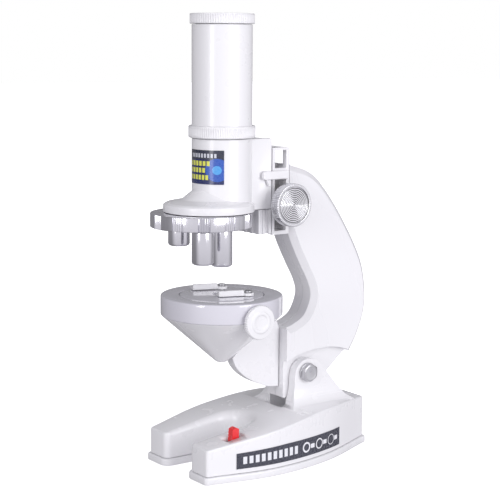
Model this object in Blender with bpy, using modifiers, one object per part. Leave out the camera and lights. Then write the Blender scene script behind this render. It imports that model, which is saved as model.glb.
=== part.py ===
"""Toy microscope: horseshoe base, tilting C-shaped arm, focusing head, three-lens turret and lit stage.

Every number is in millimetres, in a frame with the optical axis at x = 0, y = 0 and the table at
z = 0, +Z up. The stage side is +Y's opposite: the horseshoe opens towards -Y and the arm is at +Y.
place() turns it into metres, with the origin under the middle of the whole microscope.
"""
import math

import bmesh
import bpy
from mathutils import Matrix, Vector

MM = 0.001
TUBE_Y = -24.9          # the optical axis in the object's own frame
GAP = 0.3               # left between two pieces that touch
HALF_GAP = GAP / 2
WALL = 2.0
MERGE = 0.00001
FINE, MEDIUM, COARSE = 32, 18, 12

# Base
PLATE_H = 3.6
PLATE_MARGIN = 1.3
COVER_Z = PLATE_H + GAP
BASE_FRONT, BASE_REAR = -25.65, 81.8
BASE_PLAN = [(25.35, BASE_FRONT), (31.55, 10.2), (26.8, 46.0), (12.2, BASE_REAR)]
BASE_TOP = [(BASE_FRONT, 16.5), (10.2, 22.1), (46.0, 26.35), (BASE_REAR, 24.65)]
NOTCH_HALF, NOTCH_STRAIGHT_END, NOTCH_DEPTH = 10.4, 5.0, 10.0
DOOR_HALF, DOOR_Y = 11.6, (29.4, 75.6)
BASE_BOSSES = [(18.0, -20.0), (-18.0, -20.0), (21.0, 34.0), (-21.0, 34.0)]
SWITCH_AT = (21.2, -7.4)
CELL_R, CELL_LEN, CELL_X, CELL_Z = 5.2, 44.5, 5.6, 7.7

# Tilt hinge
HINGE_Y, HINGE_Z = 44.6, 42.5
EAR_IN, EAR_OUT = 6.5, 11.4
BOLT_R, HEX_FLATS, HEAD_H, NUT_H = 2.5, 8.5, 3.2, 3.6

# Arm
ARM_HALF, ARM_FLAT_HALF, FOOT_HALF = 9.2, 6.4, 6.2
ARM_CHAMFER = 2.8
ARM_FRONT_Y, FOOT_FRONT_Y = 34.1, 33.5
ARM_CAVITY_X = 4.4
BRACKET_SCREWS_Z = (56.0, 61.5)
TOE = [(FOOT_FRONT_Y + 0.02, 38.0), (FOOT_FRONT_Y, 30.6), (34.3, 29.4), (35.6, 29.9), (38.2, 32.4),
       (38.5, 38.0)]
ARM_SCREWS = [(46.0, 130.0), (69.0, 74.0)]

# Focus
RAIL_FRONT_Y, RAIL_REAR_Y = 23.6, 33.8
RAIL_Z = (113.5, 156.0)
RAIL_WALL_IN = 6.2
# openings in each side wall; the wall between the lower two carries the pinion shaft
RAIL_WINDOWS = ((115.3, 123.6), (134.0, 140.6), (146.0, 154.9))
CLAW_REAR_Y = 31.8
SHAFT_Y, SHAFT_Z, SHAFT_R = 28.8, 128.8, 2.0
TOOTH_MODULE, PINION_TEETH = 1.0, 8
PITCH_R = TOOTH_MODULE * PINION_TEETH / 2
TOOTH_PITCH = math.pi * TOOTH_MODULE
ADDENDUM, DEDENDUM = 0.7, 1.1
RACK_Z = (117.0, 141.0)
KNOB_R, KNOB_X = 10.5, (14.8, 20.3)

# Head
TUBE_R, BORE_R, LIGHT_R = 14.5, 12.7, 8.5
HEAD_Z = (126.5, 161.2)
BLOCK_HALF, BLOCK_REAR_Y = 9.2, 23.2
SKIRT_Y, SKIRT_R = -7.5, 22.0
SLIDE_Z = 114.2
SLIDE_SCREWS_Z = (147.0, 155.0)

# Eyepiece
RING_R, RING_Z = 16.1, (161.5, 167.3)
EYE_TUBE_Z, EYE_TUBE_IN = (163.0, 214.9), 12.9
EYE_R, EYE_Z = 15.43, (215.2, 220.0)

# Turret
TURRET_Y, TURRET_R, TURRET_Z = -11.94, 24.5, (119.4, 126.2)
OBJECTIVE_R = 5.3
OBJECTIVES = {"high": (90, 99.0), "mid": (-30, 102.7), "low": (210, 109.4)}

# Stage
STAGE_Y, STAGE_R, STAGE_TOP = 0.1, 29.8, 85.2
RIM_Z = 76.3
CONE_R, CONE_Z, CONE_SLOPE = 2.4, 51.45, 0.887
INSERT_R, LIGHT_HOLE_R = 20.5, 4.5
BRACKET_HALF = 3.0
CLIP_PIN = (11.3, 8.0)
CLIP_TURN = -19.0
CLIP_HEIGHT = 3.1
LAMP_Z, LAMP_KNOB_R, LAMP_KNOB_X = 76.4, 8.3, (30.2, 33.2)

# name: (colour, roughness, metallic)
FINISHES = {
    "white_plastic": ((0.86, 0.86, 0.89), 0.28, 0.0),
    "silver_plating": ((0.72, 0.72, 0.75), 0.2, 1.0),
    "knob_metal": ((0.62, 0.62, 0.62), 0.3, 1.0),
    "bolt_steel": ((0.55, 0.55, 0.56), 0.35, 1.0),
    "screw_steel": ((0.42, 0.42, 0.44), 0.4, 1.0),
    "red_plastic": ((0.78, 0.03, 0.04), 0.3, 0.0),
    "label": ((0.03, 0.035, 0.06), 0.35, 0.0),
    "glass": ((0.9, 0.95, 1.0), 0.05, 0.0),
    "mirror": ((0.9, 0.9, 0.92), 0.03, 1.0),
    "black_plastic": ((0.03, 0.03, 0.035), 0.4, 0.0),
    "nylon": ((0.75, 0.74, 0.68), 0.45, 0.0),
    "cell_jacket": ((0.06, 0.10, 0.22), 0.35, 0.0),
    "contact_spring": ((0.66, 0.62, 0.52), 0.3, 1.0),
}

for old in list(bpy.data.objects):
    bpy.data.objects.remove(old, do_unlink=True)
PARTS = bpy.data.collections.new("toy_microscope")
CUTTERS = bpy.data.collections.new("cutters")
bpy.context.scene.collection.children.link(PARTS)
bpy.context.scene.collection.children.link(CUTTERS)

# An axis name gives the object matrix whose local Z lies along it.
TURN = {
    "Z": Matrix.Identity(3),
    "X": Matrix(((0, 0, 1), (1, 0, 0), (0, 1, 0))),
    "Y": Matrix(((1, 0, 0), (0, 0, -1), (0, 1, 0))),
}


def place(x, y, z):
    """A point of the millimetre frame, in metres in the object's frame."""
    return Vector((x, y + TUBE_Y, z)) * MM


# ---------------------------------------------------------------- shapes

def add_object(name, mesh, axis="Z", origin=(0, 0, 0)):
    """An object whose mesh is in metres, with its local Z along axis and its origin at a point."""
    item = bpy.data.objects.new(name, mesh)
    PARTS.objects.link(item)
    item.matrix_world = Matrix.Translation(place(*origin)) @ TURN[axis].to_4x4()
    return item


def smooth_run(points, steps=6):
    """Points along a smooth curve through the given ones."""
    ends = [Vector(points[0]) * 2 - Vector(points[1])]
    knots = ends + [Vector(p) for p in points] + [Vector(points[-1]) * 2 - Vector(points[-2])]
    out = []
    for a, b, c, d in zip(knots, knots[1:], knots[2:], knots[3:]):
        for i in range(steps):
            t = i / steps
            p = b * 2 + (c - a) * t + (a * 2 - b * 5 + c * 4 - d) * t * t + (b * 3 - a - c * 3 + d) * t ** 3
            out.append(tuple(p / 2))
    return out + [tuple(points[-1])]


def arc(centre, radius, start, end, steps=12):
    """Points along an arc, with angles in degrees."""
    turn = [math.radians(start + (end - start) * i / steps) for i in range(steps + 1)]
    return [(centre[0] + radius * math.cos(a), centre[1] + radius * math.sin(a)) for a in turn]


def inset(outline, distances):
    """A counter-clockwise outline moved inwards, by one distance or by one for each point."""
    count = len(outline)
    if not isinstance(distances, list):
        distances = [distances] * count
    out = []
    for i, here in enumerate(outline):
        before = (Vector(here) - Vector(outline[i - 1])).normalized()
        after = (Vector(outline[(i + 1) % count]) - Vector(here)).normalized()
        inward = Vector((-before.y - after.y, before.x + after.x))
        inward *= 2 / max(inward.length_squared, 0.4)
        out.append(tuple(Vector(here) + inward * distances[i]))
    return out


def prism(name, outline, low, high, axis="Z"):
    """A flat outline drawn out along an axis: (x, y) along Z, (y, z) along X, (x, z) along Y."""
    curve = bpy.data.curves.new(name + "_outline", "CURVE")
    curve.dimensions = "2D"
    curve.fill_mode = "BOTH"
    curve.extrude = (high - low) / 2 * MM
    spline = curve.splines.new("POLY")
    spline.points.add(len(outline) - 1)
    offset = TUBE_Y if axis == "Z" else 0.0
    for point, (u, v) in zip(spline.points, outline):
        u_shift = TUBE_Y if axis == "X" else 0.0
        point.co = ((u + u_shift) * MM, (v + offset) * MM, 0, 1)
    spline.use_cyclic_u = True
    guide = bpy.data.objects.new(name + "_guide", curve)
    CUTTERS.objects.link(guide)
    middle = (low + high) / 2 * MM
    shift = {"Z": (0, 0, middle), "X": (middle, 0, 0), "Y": (0, middle + TUBE_Y * MM, 0)}[axis]
    guide.matrix_world = Matrix.Translation(shift) @ TURN[axis].to_4x4()
    bpy.context.view_layer.update()
    shown = guide.evaluated_get(bpy.context.evaluated_depsgraph_get())
    mesh = bpy.data.meshes.new_from_object(shown)
    mesh.name = name
    clean = bmesh.new()
    clean.from_mesh(mesh)
    bmesh.ops.remove_doubles(clean, verts=clean.verts, dist=MERGE / 10)
    bmesh.ops.dissolve_limit(clean, angle_limit=math.radians(0.5), verts=clean.verts, edges=clean.edges)
    bmesh.ops.recalc_face_normals(clean, faces=clean.faces)
    clean.to_mesh(mesh)
    clean.free()
    item = bpy.data.objects.new(name, mesh)
    PARTS.objects.link(item)
    item.matrix_world = guide.matrix_world.copy()
    bpy.data.objects.remove(guide)
    return item


def block(name, low, high, round_by=0.0):
    """A box between two corners, with its edges rounded if a radius is given."""
    size = Vector(high) - Vector(low)
    middle = (Vector(high) + Vector(low)) / 2
    form = bmesh.new()
    bmesh.ops.create_cube(form, size=MM)
    bmesh.ops.scale(form, vec=size, verts=form.verts)
    mesh = bpy.data.meshes.new(name)
    form.to_mesh(mesh)
    form.free()
    item = add_object(name, mesh, "Z", middle)
    if round_by:
        soften(item, round_by, 2)
    return item


def rod(name, radius, low, high, axis="Z", centre=(0, 0), sides=COARSE, radius_high=None, spin=0.0):
    """A round or many-sided bar along an axis; centre is (x, y), (y, z) or (x, z) across it."""
    form = bmesh.new()
    top = radius if radius_high is None else radius_high
    bmesh.ops.create_cone(form, cap_ends=True, segments=sides, radius1=radius * MM, radius2=top * MM,
                          depth=(high - low) * MM, matrix=Matrix.Rotation(math.radians(spin), 4, "Z"))
    mesh = bpy.data.meshes.new(name)
    form.to_mesh(mesh)
    form.free()
    middle = (low + high) / 2
    origin = {"Z": (*centre, middle), "X": (middle, *centre), "Y": (centre[0], middle, centre[1])}[axis]
    item = add_object(name, mesh, axis, origin)
    if axis == "Y":
        item.matrix_world = item.matrix_world @ Matrix.Rotation(math.pi, 4, "X")
    return item


def turned(name, profile, axis="Z", origin=(0, 0, 0), steps=FINE, closed=False):
    """A profile of (radius, height) spun round an axis; it runs down its outer side."""
    mesh = bpy.data.meshes.new(name)
    edges = [(i, i + 1) for i in range(len(profile) - 1)]
    if closed:
        edges.append((len(profile) - 1, 0))
    mesh.from_pydata([(r * MM, 0, h * MM) for r, h in profile], edges, [])
    item = add_object(name, mesh, axis, origin)
    spin = item.modifiers.new("spin", "SCREW")
    spin.axis = "Z"
    spin.angle = math.tau
    spin.steps = spin.render_steps = steps
    spin.use_merge_vertices = True
    spin.merge_threshold = MERGE
    spin.use_smooth_shade = True
    return item


def loft(name, sections):
    """A solid through equal-length (y, z) outlines, each at its own x."""
    form = bmesh.new()
    rings = [[form.verts.new(place(x, y, z)) for y, z in outline] for x, outline in sections]
    form.faces.new(reversed(rings[0]))
    form.faces.new(rings[-1])
    count = len(rings[0])
    for ring, following in zip(rings, rings[1:]):
        for i in range(count):
            j = (i + 1) % count
            form.faces.new((ring[i], ring[j], following[j], following[i]))
    bmesh.ops.recalc_face_normals(form, faces=form.faces)
    mesh = bpy.data.meshes.new(name)
    form.to_mesh(mesh)
    form.free()
    item = bpy.data.objects.new(name, mesh)
    PARTS.objects.link(item)
    return item


def soften(item, width, segments=1, angle=35):
    """Rounds an object's sharp edges."""
    edge = item.modifiers.new("soft_edges", "BEVEL")
    edge.width = width * MM
    edge.segments = segments
    edge.limit_method = "ANGLE"
    edge.angle_limit = math.radians(angle)
    edge.use_clamp_overlap = True


def combine(target, others, operation):
    """Boolean of one object with others, which become hidden guides."""
    for other in others:
        if other.name in PARTS.objects:
            PARTS.objects.unlink(other)
            CUTTERS.objects.link(other)
        other.hide_render = True
        other.display_type = "WIRE"
        step = target.modifiers.new(operation.lower(), "BOOLEAN")
        step.operation = operation
        step.object = other
        step.solver = "EXACT"
    return target


def cut(target, *others):
    return combine(target, others, "DIFFERENCE")


def join(target, *others):
    return combine(target, others, "UNION")


def common(target, *others):
    return combine(target, others, "INTERSECT")


def settle(item):
    """Makes an object's evaluated mesh its own, so that it can be merged or moved."""
    bpy.context.view_layer.update()
    shown = item.evaluated_get(bpy.context.evaluated_depsgraph_get())
    mesh = bpy.data.meshes.new_from_object(shown)
    item.modifiers.clear()
    item.data = mesh
    return item


def about(item, point):
    """Moves an object's origin to a point, which is where its joint turns it."""
    settle(item)
    centre = Matrix.Translation(place(*point))
    item.data.transform(centre.inverted() @ item.matrix_world)
    item.matrix_world = centre
    return item


def finish(item, name, slot, is_round=True):
    """Names an object and gives it its own material."""
    item.name = name
    settle(item)
    item.data.name = name
    colour, roughness, metallic = FINISHES[slot]
    material = bpy.data.materials.new(name + "_" + slot)
    material.use_nodes = True
    shader = material.node_tree.nodes["Principled BSDF"]
    shader.inputs["Base Color"].default_value = (*colour, 1)
    shader.inputs["Roughness"].default_value = roughness
    shader.inputs["Metallic"].default_value = metallic
    item.data.materials.clear()
    item.data.materials.append(material)
    if is_round:
        item.data.shade_smooth()
        item.data.set_sharp_from_angle(angle=math.radians(35))
    return item


def screw(name, axis, centre, head, tip, head_r=2.2, shank_r=1.1, head_h=1.4):
    """A pan-head screw; head is where its head ends and tip where its point is, along the axis."""
    sign = 1 if head > tip else -1
    under = head - sign * head_h
    rods = [(head_r, under, head), (shank_r, tip, under + sign * 0.2)]
    pieces = [rod(name + str(i), r, min(a, b), max(a, b), axis, centre, 10)
              for i, (r, a, b) in enumerate(rods)]
    slot_depth = head - sign * 0.7
    low, high = min(slot_depth, head + sign), max(slot_depth, head + sign)
    u, v = centre
    box = {"Z": ((u - 1.5, v - 0.3, low), (u + 1.5, v + 0.3, high)),
           "X": ((low, u - 0.3, v - 1.5), (high, u + 0.3, v + 1.5)),
           "Y": ((u - 1.5, low, v - 0.3), (u + 1.5, high, v + 0.3))}[axis]
    return cut(join(pieces[0], pieces[1]), block(name + "_slot", *box))


# ---------------------------------------------------------------- base

def round_corner(before, corner, after, radius, steps=3):
    """Points that replace a corner by a round of about the given radius."""
    corner = Vector(corner)
    start = corner + (Vector(before) - corner).normalized() * radius
    end = corner + (Vector(after) - corner).normalized() * radius
    run = [i / steps for i in range(steps + 1)]
    return [tuple(start * (1 - t) ** 2 + corner * 2 * t * (1 - t) + end * t * t) for t in run]


def horseshoe(margin=0.0, corner=3.0):
    """The outline of the base with its mouth at the front, grown by a margin."""
    side = [(x + margin, y) for x, y in smooth_run(BASE_PLAN, 4)]
    front, rear = BASE_FRONT - margin, BASE_REAR + margin
    half, depth = NOTCH_HALF - margin, NOTCH_DEPTH - margin
    tip = round_corner((half, front), (side[0][0], front), side[1], corner + margin)
    heel = round_corner(side[-2], (side[-1][0], rear), (0, rear), corner + margin)
    lip = round_corner((half, NOTCH_STRAIGHT_END), (half, front), (side[0][0], front), corner + margin)
    end = [(half * math.cos(a), NOTCH_STRAIGHT_END + depth * math.sin(a))
           for a in [math.pi / 2 * i / 6 for i in range(7)]]
    right = lip + tip + side[1:-1] + heel
    left = [(-x, y) for x, y in reversed(right)]
    inner = [(-x, y) for x, y in end] + list(reversed(end))[1:]
    return right + left + inner


def base_side(drop=0.0, floor=0.0):
    """The base seen from the side, under its gently arched top."""
    run = smooth_run([(BASE_FRONT - 8, 15.2), *BASE_TOP, (BASE_REAR + 8, 24.1)], 5)
    top = [(y, z - drop) for y, z in run]
    return [(top[0][0], floor), (top[-1][0], floor), *reversed(top)]


def ears():
    """The two lugs that hold the arm's foot, flared where they leave the base."""
    front = smooth_run([(29.6, 24.4), (33.6, 26.8), (36.2, 31.8), (37.0, 40.0)], 4)
    crown = smooth_run([(37.0, 40.0), (38.3, 45.2), (41.8, 48.4), (46.2, 49.0), (50.8, 47.7), (54.5, 45.0)],
                       4)
    rear = smooth_run([(54.5, 45.0), (65.7, 31.3), (69.5, 27.4), (74.5, 24.4)], 4)
    side = list(reversed([(74.5, 20.0), (29.6, 20.0)] + front + crown[1:] + rear[1:]))
    right = [(21.5, 19.0), (21.5, 24.2)]
    right += smooth_run([(20.0, 24.7), (15.5, 26.4), (12.6, 29.6), (EAR_OUT, 34.6)], 4) + [(EAR_OUT, 56.0)]
    flare = right + [(-x, z) for x, z in reversed(right)]
    pair = prism("ears", side, -22.0, 22.0, "X")
    common(pair, prism("ear_flare", flare, 28.0, 76.0, "Y"))
    cut(pair, block("ear_gap", (-EAR_IN, 20.0, 10.0), (EAR_IN, 90.0, 60.0)))
    common(pair, prism("ear_footprint", horseshoe(-0.5), 10.0, 60.0))
    return settle(pair)


def make_base():
    cover = prism("base_cover", horseshoe(), COVER_Z, 32.0)
    common(cover, prism("cover_side", base_side(), -40.0, 40.0, "X"))
    settle(cover)
    soften(cover, 0.9, 1, 50)
    settle(cover)
    join(cover, ears())
    cavity = prism("cavity", horseshoe(-WALL), COVER_Z - 1, 32.0)
    common(cavity, prism("cavity_side", base_side(WALL), -40.0, 40.0, "X"))
    cut(cavity, block("well_wall", (-8.9, 29.6, 18.5), (8.9, 66.0, 34.0)))
    for x, y in BASE_BOSSES:
        cut(cavity, rod("boss", 3.0, 1.0, 34.0, "Z", (x, y), 16))
    cut(cover, settle(cavity))
    well = [(31.6, 60.0), (31.6, 23.0), (33.4, 21.2), (62.0, 21.2), (64.0, 23.2), (64.0, 60.0)]
    cut(cover, prism("foot_well", well, -EAR_IN - 0.12, EAR_IN + 0.12, "X"))
    for x, y in BASE_BOSSES:
        cut(cover, rod("boss_hole", 1.4, 1.0, 11.0, "Z", (x, y), 12))
    cut(cover, rod("hinge_hole", BOLT_R + GAP, -20.0, 20.0, "X", (HINGE_Y, HINGE_Z), MEDIUM))
    x, y = SWITCH_AT
    cut(cover, block("switch_slot", (x - 2.6, y - 5.6, 14.0), (x + 2.6, y + 5.6, 26.0)))
    finish(cover, "base_cover", "white_plastic")

    plate = prism("base_plate", horseshoe(PLATE_MARGIN), 0.0, PLATE_H)
    opening = block("door_opening", (-DOOR_HALF - GAP, DOOR_Y[0] - GAP, -1.0),
                    (DOOR_HALF + GAP, DOOR_Y[1] + GAP, 5.0))
    cut(plate, opening)
    settle(plate)
    soften(plate, 0.5, 1, 50)
    for x, y in BASE_BOSSES:
        cut(plate, rod("screw_hole", 1.4, -1.0, 5.0, "Z", (x, y), 10))
        cut(plate, rod("screw_sink", 2.6, -1.0, 2.2, "Z", (x, y), 12))
    finish(plate, "base_plate", "white_plastic")

    lid = block("battery_door", (-DOOR_HALF, DOOR_Y[0], 0.0), (DOOR_HALF, DOOR_Y[1], 1.8))
    ribs = [block("grip", (-6.0, y, -1.0), (6.0, y + 1.0, 0.4)) for y in (68.0, 70.0, 72.0)]
    cut(lid, *ribs)
    finish(lid, "battery_door", "white_plastic", False)
    for i, at in enumerate(BASE_BOSSES):
        finish(screw("base_screw", "Z", at, 0.6, 9.5), "base_screw_%d" % (i + 1), "screw_steel")


def make_power():
    """Two small cells side by side, with a contact plate at each end and a spring at one."""
    low = (DOOR_Y[0] + DOOR_Y[1]) / 2 - CELL_LEN / 2 + 0.9
    for side, sign in (("right", 1), ("left", -1)):
        start = low if sign > 0 else low + 0.9
        can = [(0, 0), (CELL_R - 0.4, 0), (CELL_R, 0.4), (CELL_R, CELL_LEN - 1.8),
               (CELL_R - 0.4, CELL_LEN - 1.4), (2.0, CELL_LEN - 1.4), (1.9, CELL_LEN - 0.5),
               (0, CELL_LEN - 0.5)]
        cell = turned("cell", list(reversed(can)), "Z", (0, 0, 0), 16)
        lay = Matrix.Rotation(-sign * math.pi / 2, 4, "X")
        y = start if sign > 0 else start + CELL_LEN - 0.9
        cell.matrix_world = Matrix.Translation(place(sign * CELL_X, y, CELL_Z)) @ lay
        finish(cell, "battery_" + side, "cell_jacket")
    for end, y in (("front", low - 1.0), ("rear", low + CELL_LEN + 0.8)):
        plate = block("contact", (-CELL_X - 4.0, y - 0.25, 4.6), (CELL_X + 4.0, y + 0.25, 11.4))
        finish(plate, "battery_contact_" + end, "contact_spring", False)


def make_switch():
    x, y = SWITCH_AT
    floor = 17.2
    body = block("switch_body", (x - 4.0, y - 7.5, 9.5), (x + 4.0, y + 7.5, 14.2), 0.4)
    cut(body, block("switch_track", (x - 1.4, y - 4.6, 12.0), (x + 1.4, y + 4.6, 16.0)))
    finish(body, "switch_body", "black_plastic", False)
    stem = block("switch_slider", (x - 1.1, y - 1.6, 12.4), (x + 1.1, y + 1.6, 18.0))
    cap = [(y - 2.0, floor + 0.2), (y + 2.0, floor + 0.2), (y + 2.0, 23.8), (y + 0.4, 24.5), (y - 1.6, 23.6)]
    key = prism("switch_key", cap, x - 1.8, x + 1.8, "X")
    join(stem, key)
    finish(about(stem, (x, y, floor)), "switch_slider", "red_plastic", False)


def make_base_label():
    """A strip that follows the near flank of the base."""
    flank = [p for p in smooth_run(BASE_PLAN, 7) if -14.0 < p[1] < 62.0]
    outline = [(x + 0.12, y) for x, y in flank] + [(x + 0.42, y) for x, y in reversed(flank)]
    strip = prism("base_label", list(reversed(outline)), 4.0, 20.0)
    shape = [(-11.0, 6.0), (57.0, 5.8), (57.0, 14.8), (17.5, 14.7), (-11.0, 13.6)]
    common(strip, prism("label_shape", shape, 20.0, 40.0, "X"))
    finish(strip, "base_label", "label", False)


def make_hinge():
    corner = HEX_FLATS / math.sqrt(3)
    head_x = EAR_OUT + GAP
    centre = (HINGE_Y, HINGE_Z)
    bolt = rod("hinge_bolt", corner, head_x, head_x + HEAD_H, "X", centre, 6)
    cone = rod("head_chamfer", corner + 0.55, head_x - 1, head_x + HEAD_H + 1.2, "X", centre, 24,
               radius_high=corner - 1.0)
    common(bolt, cone)
    join(bolt, rod("bolt_shank", BOLT_R, -EAR_OUT - 1.0 - NUT_H, head_x + 0.2, "X", centre, 24))
    finish(bolt, "hinge_bolt", "bolt_steel", False)
    nut = rod("hinge_nut", corner, -EAR_OUT - GAP - NUT_H, -EAR_OUT - GAP, "X", centre, 6)
    cut(nut, rod("nut_bore", BOLT_R + 0.2, -30.0, 0.0, "X", centre, 24))
    finish(nut, "hinge_nut", "bolt_steel", False)


# ---------------------------------------------------------------- arm

def arm_outline():
    """The C-shaped arm and its foot from the side, counter-clockwise, and which points have a chamfer."""
    foot = [(FOOT_FRONT_Y, 65.0), (FOOT_FRONT_Y, 36.2), *arc((38.3, 36.0), 4.8, 190, 270, 4),
            (49.0, 31.2), (54.0, 33.4)]
    heel = [(72.9, 49.3)]
    back = smooth_run([(76.1, 48.6), (81.2, 57.2), (85.3, 68.0), (86.1, 79.0), (82.8, 95.6), (72.1, 115.3),
                       (59.2, 133.2), (48.5, 142.8), (ARM_FRONT_Y, 147.7)], 3)
    hollow = smooth_run([(ARM_FRONT_Y, 116.8), (38.3, 106.7), (43.5, 96.6), (48.9, 86.6), (50.2, 79.5),
                         (46.4, 71.0), (40.0, 67.0), (FOOT_FRONT_Y, 65.0)], 3)
    outline = foot + heel + back + hollow[:-1]
    first = len(foot) + len(heel)
    chamfer = [0.0] * len(outline)
    for i in range(first, len(outline)):
        on_front = outline[i][0] < ARM_FRONT_Y + 0.01
        chamfer[i] = 0.0 if on_front else ARM_CHAMFER
    return outline, chamfer


def seam():
    """What is cut from each cheek below the arched step above the foot."""
    step = smooth_run([(28.0, 46.2), (33.4, 48.6), (40.5, 51.2), (48.0, 52.6), (57.0, 53.1), (64.5, 52.6),
                       (73.5, 50.0), (79.0, 47.2)], 2)
    return list(reversed(step)) + [(28.0, 25.0), (79.0, 25.0)]


def make_arm():
    outline, chamfer = arm_outline()
    narrow = inset(outline, chamfer)
    for name, sign in (("arm_right_shell", 1), ("arm_left_shell", -1)):
        sections = [(HALF_GAP, outline), (ARM_FLAT_HALF, outline), (ARM_HALF, narrow)]
        shell = loft(name, [(sign * x, points) for x, points in sections])
        low, high = sorted((sign * FOOT_HALF, sign * (ARM_HALF + 1)))
        cut(shell, prism("seam_cut", seam(), low, high, "X"))
        low, high = sorted((sign * HALF_GAP, sign * FOOT_HALF))
        join(shell, prism("toe", TOE, low, high, "X"))
        low, high = sorted((-sign, sign * ARM_CAVITY_X))
        cavity = prism("arm_cavity", inset(outline, WALL), low, high, "X")
        for at in ARM_SCREWS:
            cut(cavity, rod("arm_boss", 3.2, -8.0, 8.0, "X", at, 16))
        cut(cavity, rod("hinge_boss", 6.4, -8.0, 8.0, "X", (HINGE_Y, HINGE_Z), 24))
        cut(shell, settle(cavity))
        cut(shell, rod("hinge_bore", BOLT_R + GAP, -12.0, 12.0, "X", (HINGE_Y, HINGE_Z), MEDIUM))
        for at in ARM_SCREWS:
            cut(shell, rod("arm_screw_hole", 1.4, -12.0, 7.0, "X", at, 14))
            if sign < 0:
                cut(shell, rod("arm_screw_sink", 2.7, -12.0, -6.5, "X", at, 18))
        for z in BRACKET_SCREWS_Z:
            cut(shell, rod("bracket_screw_hole", 1.4, 30.0, 40.0, "Y", (0, z), 14))
        finish(shell, name, "white_plastic")
    for end, at in zip(("top", "bottom"), ARM_SCREWS):
        finish(screw("arm_screw", "X", at, -8.4, 6.2), "arm_screw_" + end, "screw_steel")


def make_rail():
    """The channel at the top of the arm that guides the head and carries the pinion."""
    low_z, high_z = RAIL_Z
    rail = block("rail_housing", (-ARM_HALF, RAIL_FRONT_Y, low_z), (ARM_HALF, RAIL_REAR_Y, high_z))
    cut(rail, block("rail_inside", (-RAIL_WALL_IN, 20.0, low_z + 1.8), (RAIL_WALL_IN, 36.0, high_z - 1.2)))
    cut(rail, block("rack_way", (-RAIL_WALL_IN, 20.0, low_z - 1), (RAIL_WALL_IN, 26.5, high_z + 1)))
    for sign in (1, -1):
        for bottom, top in RAIL_WINDOWS:
            low, high = sorted((sign * (RAIL_WALL_IN - 1), sign * (ARM_HALF + 1)))
            cut(rail, block("rail_window", (low, 25.0, bottom), (high, 32.0, top)))
        low, high = sorted((sign * (BLOCK_HALF + GAP), sign * 12.0))
        join(rail, block("claw", (low, 16.4, 141.0), (high, CLAW_REAR_Y, 145.0)))
        low, high = sorted((sign * 8.4, sign * 10.2))
        join(rail, block("claw_root", (low, 24.2, 141.0), (high, CLAW_REAR_Y, 145.0)))
        low, high = sorted((sign * (BLOCK_HALF + GAP), sign * 11.0))
        rib = [(18.8, 141.4), (20.2, 137.8), (21.6, 137.8), (21.6, 141.4)]
        join(rail, prism("claw_rib", rib, low, high, "X"))
    cut(rail, rod("shaft_bearing", SHAFT_R + 0.3, -14.0, 14.0, "X", (SHAFT_Y, SHAFT_Z), 24))
    finish(rail, "rail_housing", "white_plastic", False)


def tooth_outline():
    """The pinion from the end: straight-sided teeth, thinner than the spaces between them."""
    points = []
    root, tip = PITCH_R - DEDENDUM, PITCH_R + ADDENDUM
    for i in range(PINION_TEETH):
        # a space, not a tooth, faces the rack tooth on the line of centres
        middle = 360 / PINION_TEETH * (i + 0.5) + 180
        for radius, half in ((root, 17.0), (tip, 5.0), (tip, -5.0), (root, -17.0)):
            angle = math.radians(middle - half)
            points.append((SHAFT_Y + radius * math.cos(angle), SHAFT_Z + radius * math.sin(angle)))
    return points


def make_focus_drive():
    shaft = rod("pinion_shaft", SHAFT_R, -17.4, 17.4, "X", (SHAFT_Y, SHAFT_Z), 24)
    join(shaft, prism("pinion", tooth_outline(), -4.0, 4.0, "X"))
    finish(about(shaft, (0, SHAFT_Y, SHAFT_Z)), "pinion_shaft", "nylon", False)
    for side, sign in (("right", 1), ("left", -1)):
        inner, outer = KNOB_X
        rim, dish = KNOB_R, KNOB_R - 1.5
        half = [(dish, outer - 1.0), (dish, outer), (rim - 0.4, outer), (rim, outer - 0.4), (rim, inner),
                (4.6, inner), (4.6, ARM_HALF + 0.4), (SHAFT_R + 0.2, ARM_HALF + 0.4),
                (SHAFT_R + 0.2, 17.7), (0, 17.7)]
        profile = [(0, outer - 1.0)] + half
        if sign < 0:
            profile = [(r, -x) for r, x in reversed(profile)]
        knob = turned("focus_knob_" + side, profile, "X", (0, SHAFT_Y, SHAFT_Z), FINE)
        finish(about(knob, (0, SHAFT_Y, SHAFT_Z)), "focus_knob_" + side, "knob_metal")
        low, high = sorted((sign * (outer - 0.85), sign * (outer - 0.25)))
        face = rod("knob_face_" + side, dish - 0.3, low, high, "X", (SHAFT_Y, SHAFT_Z), FINE)
        finish(about(face, (0, SHAFT_Y, SHAFT_Z)), "knob_face_" + side, "silver_plating")


# ---------------------------------------------------------------- head

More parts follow.
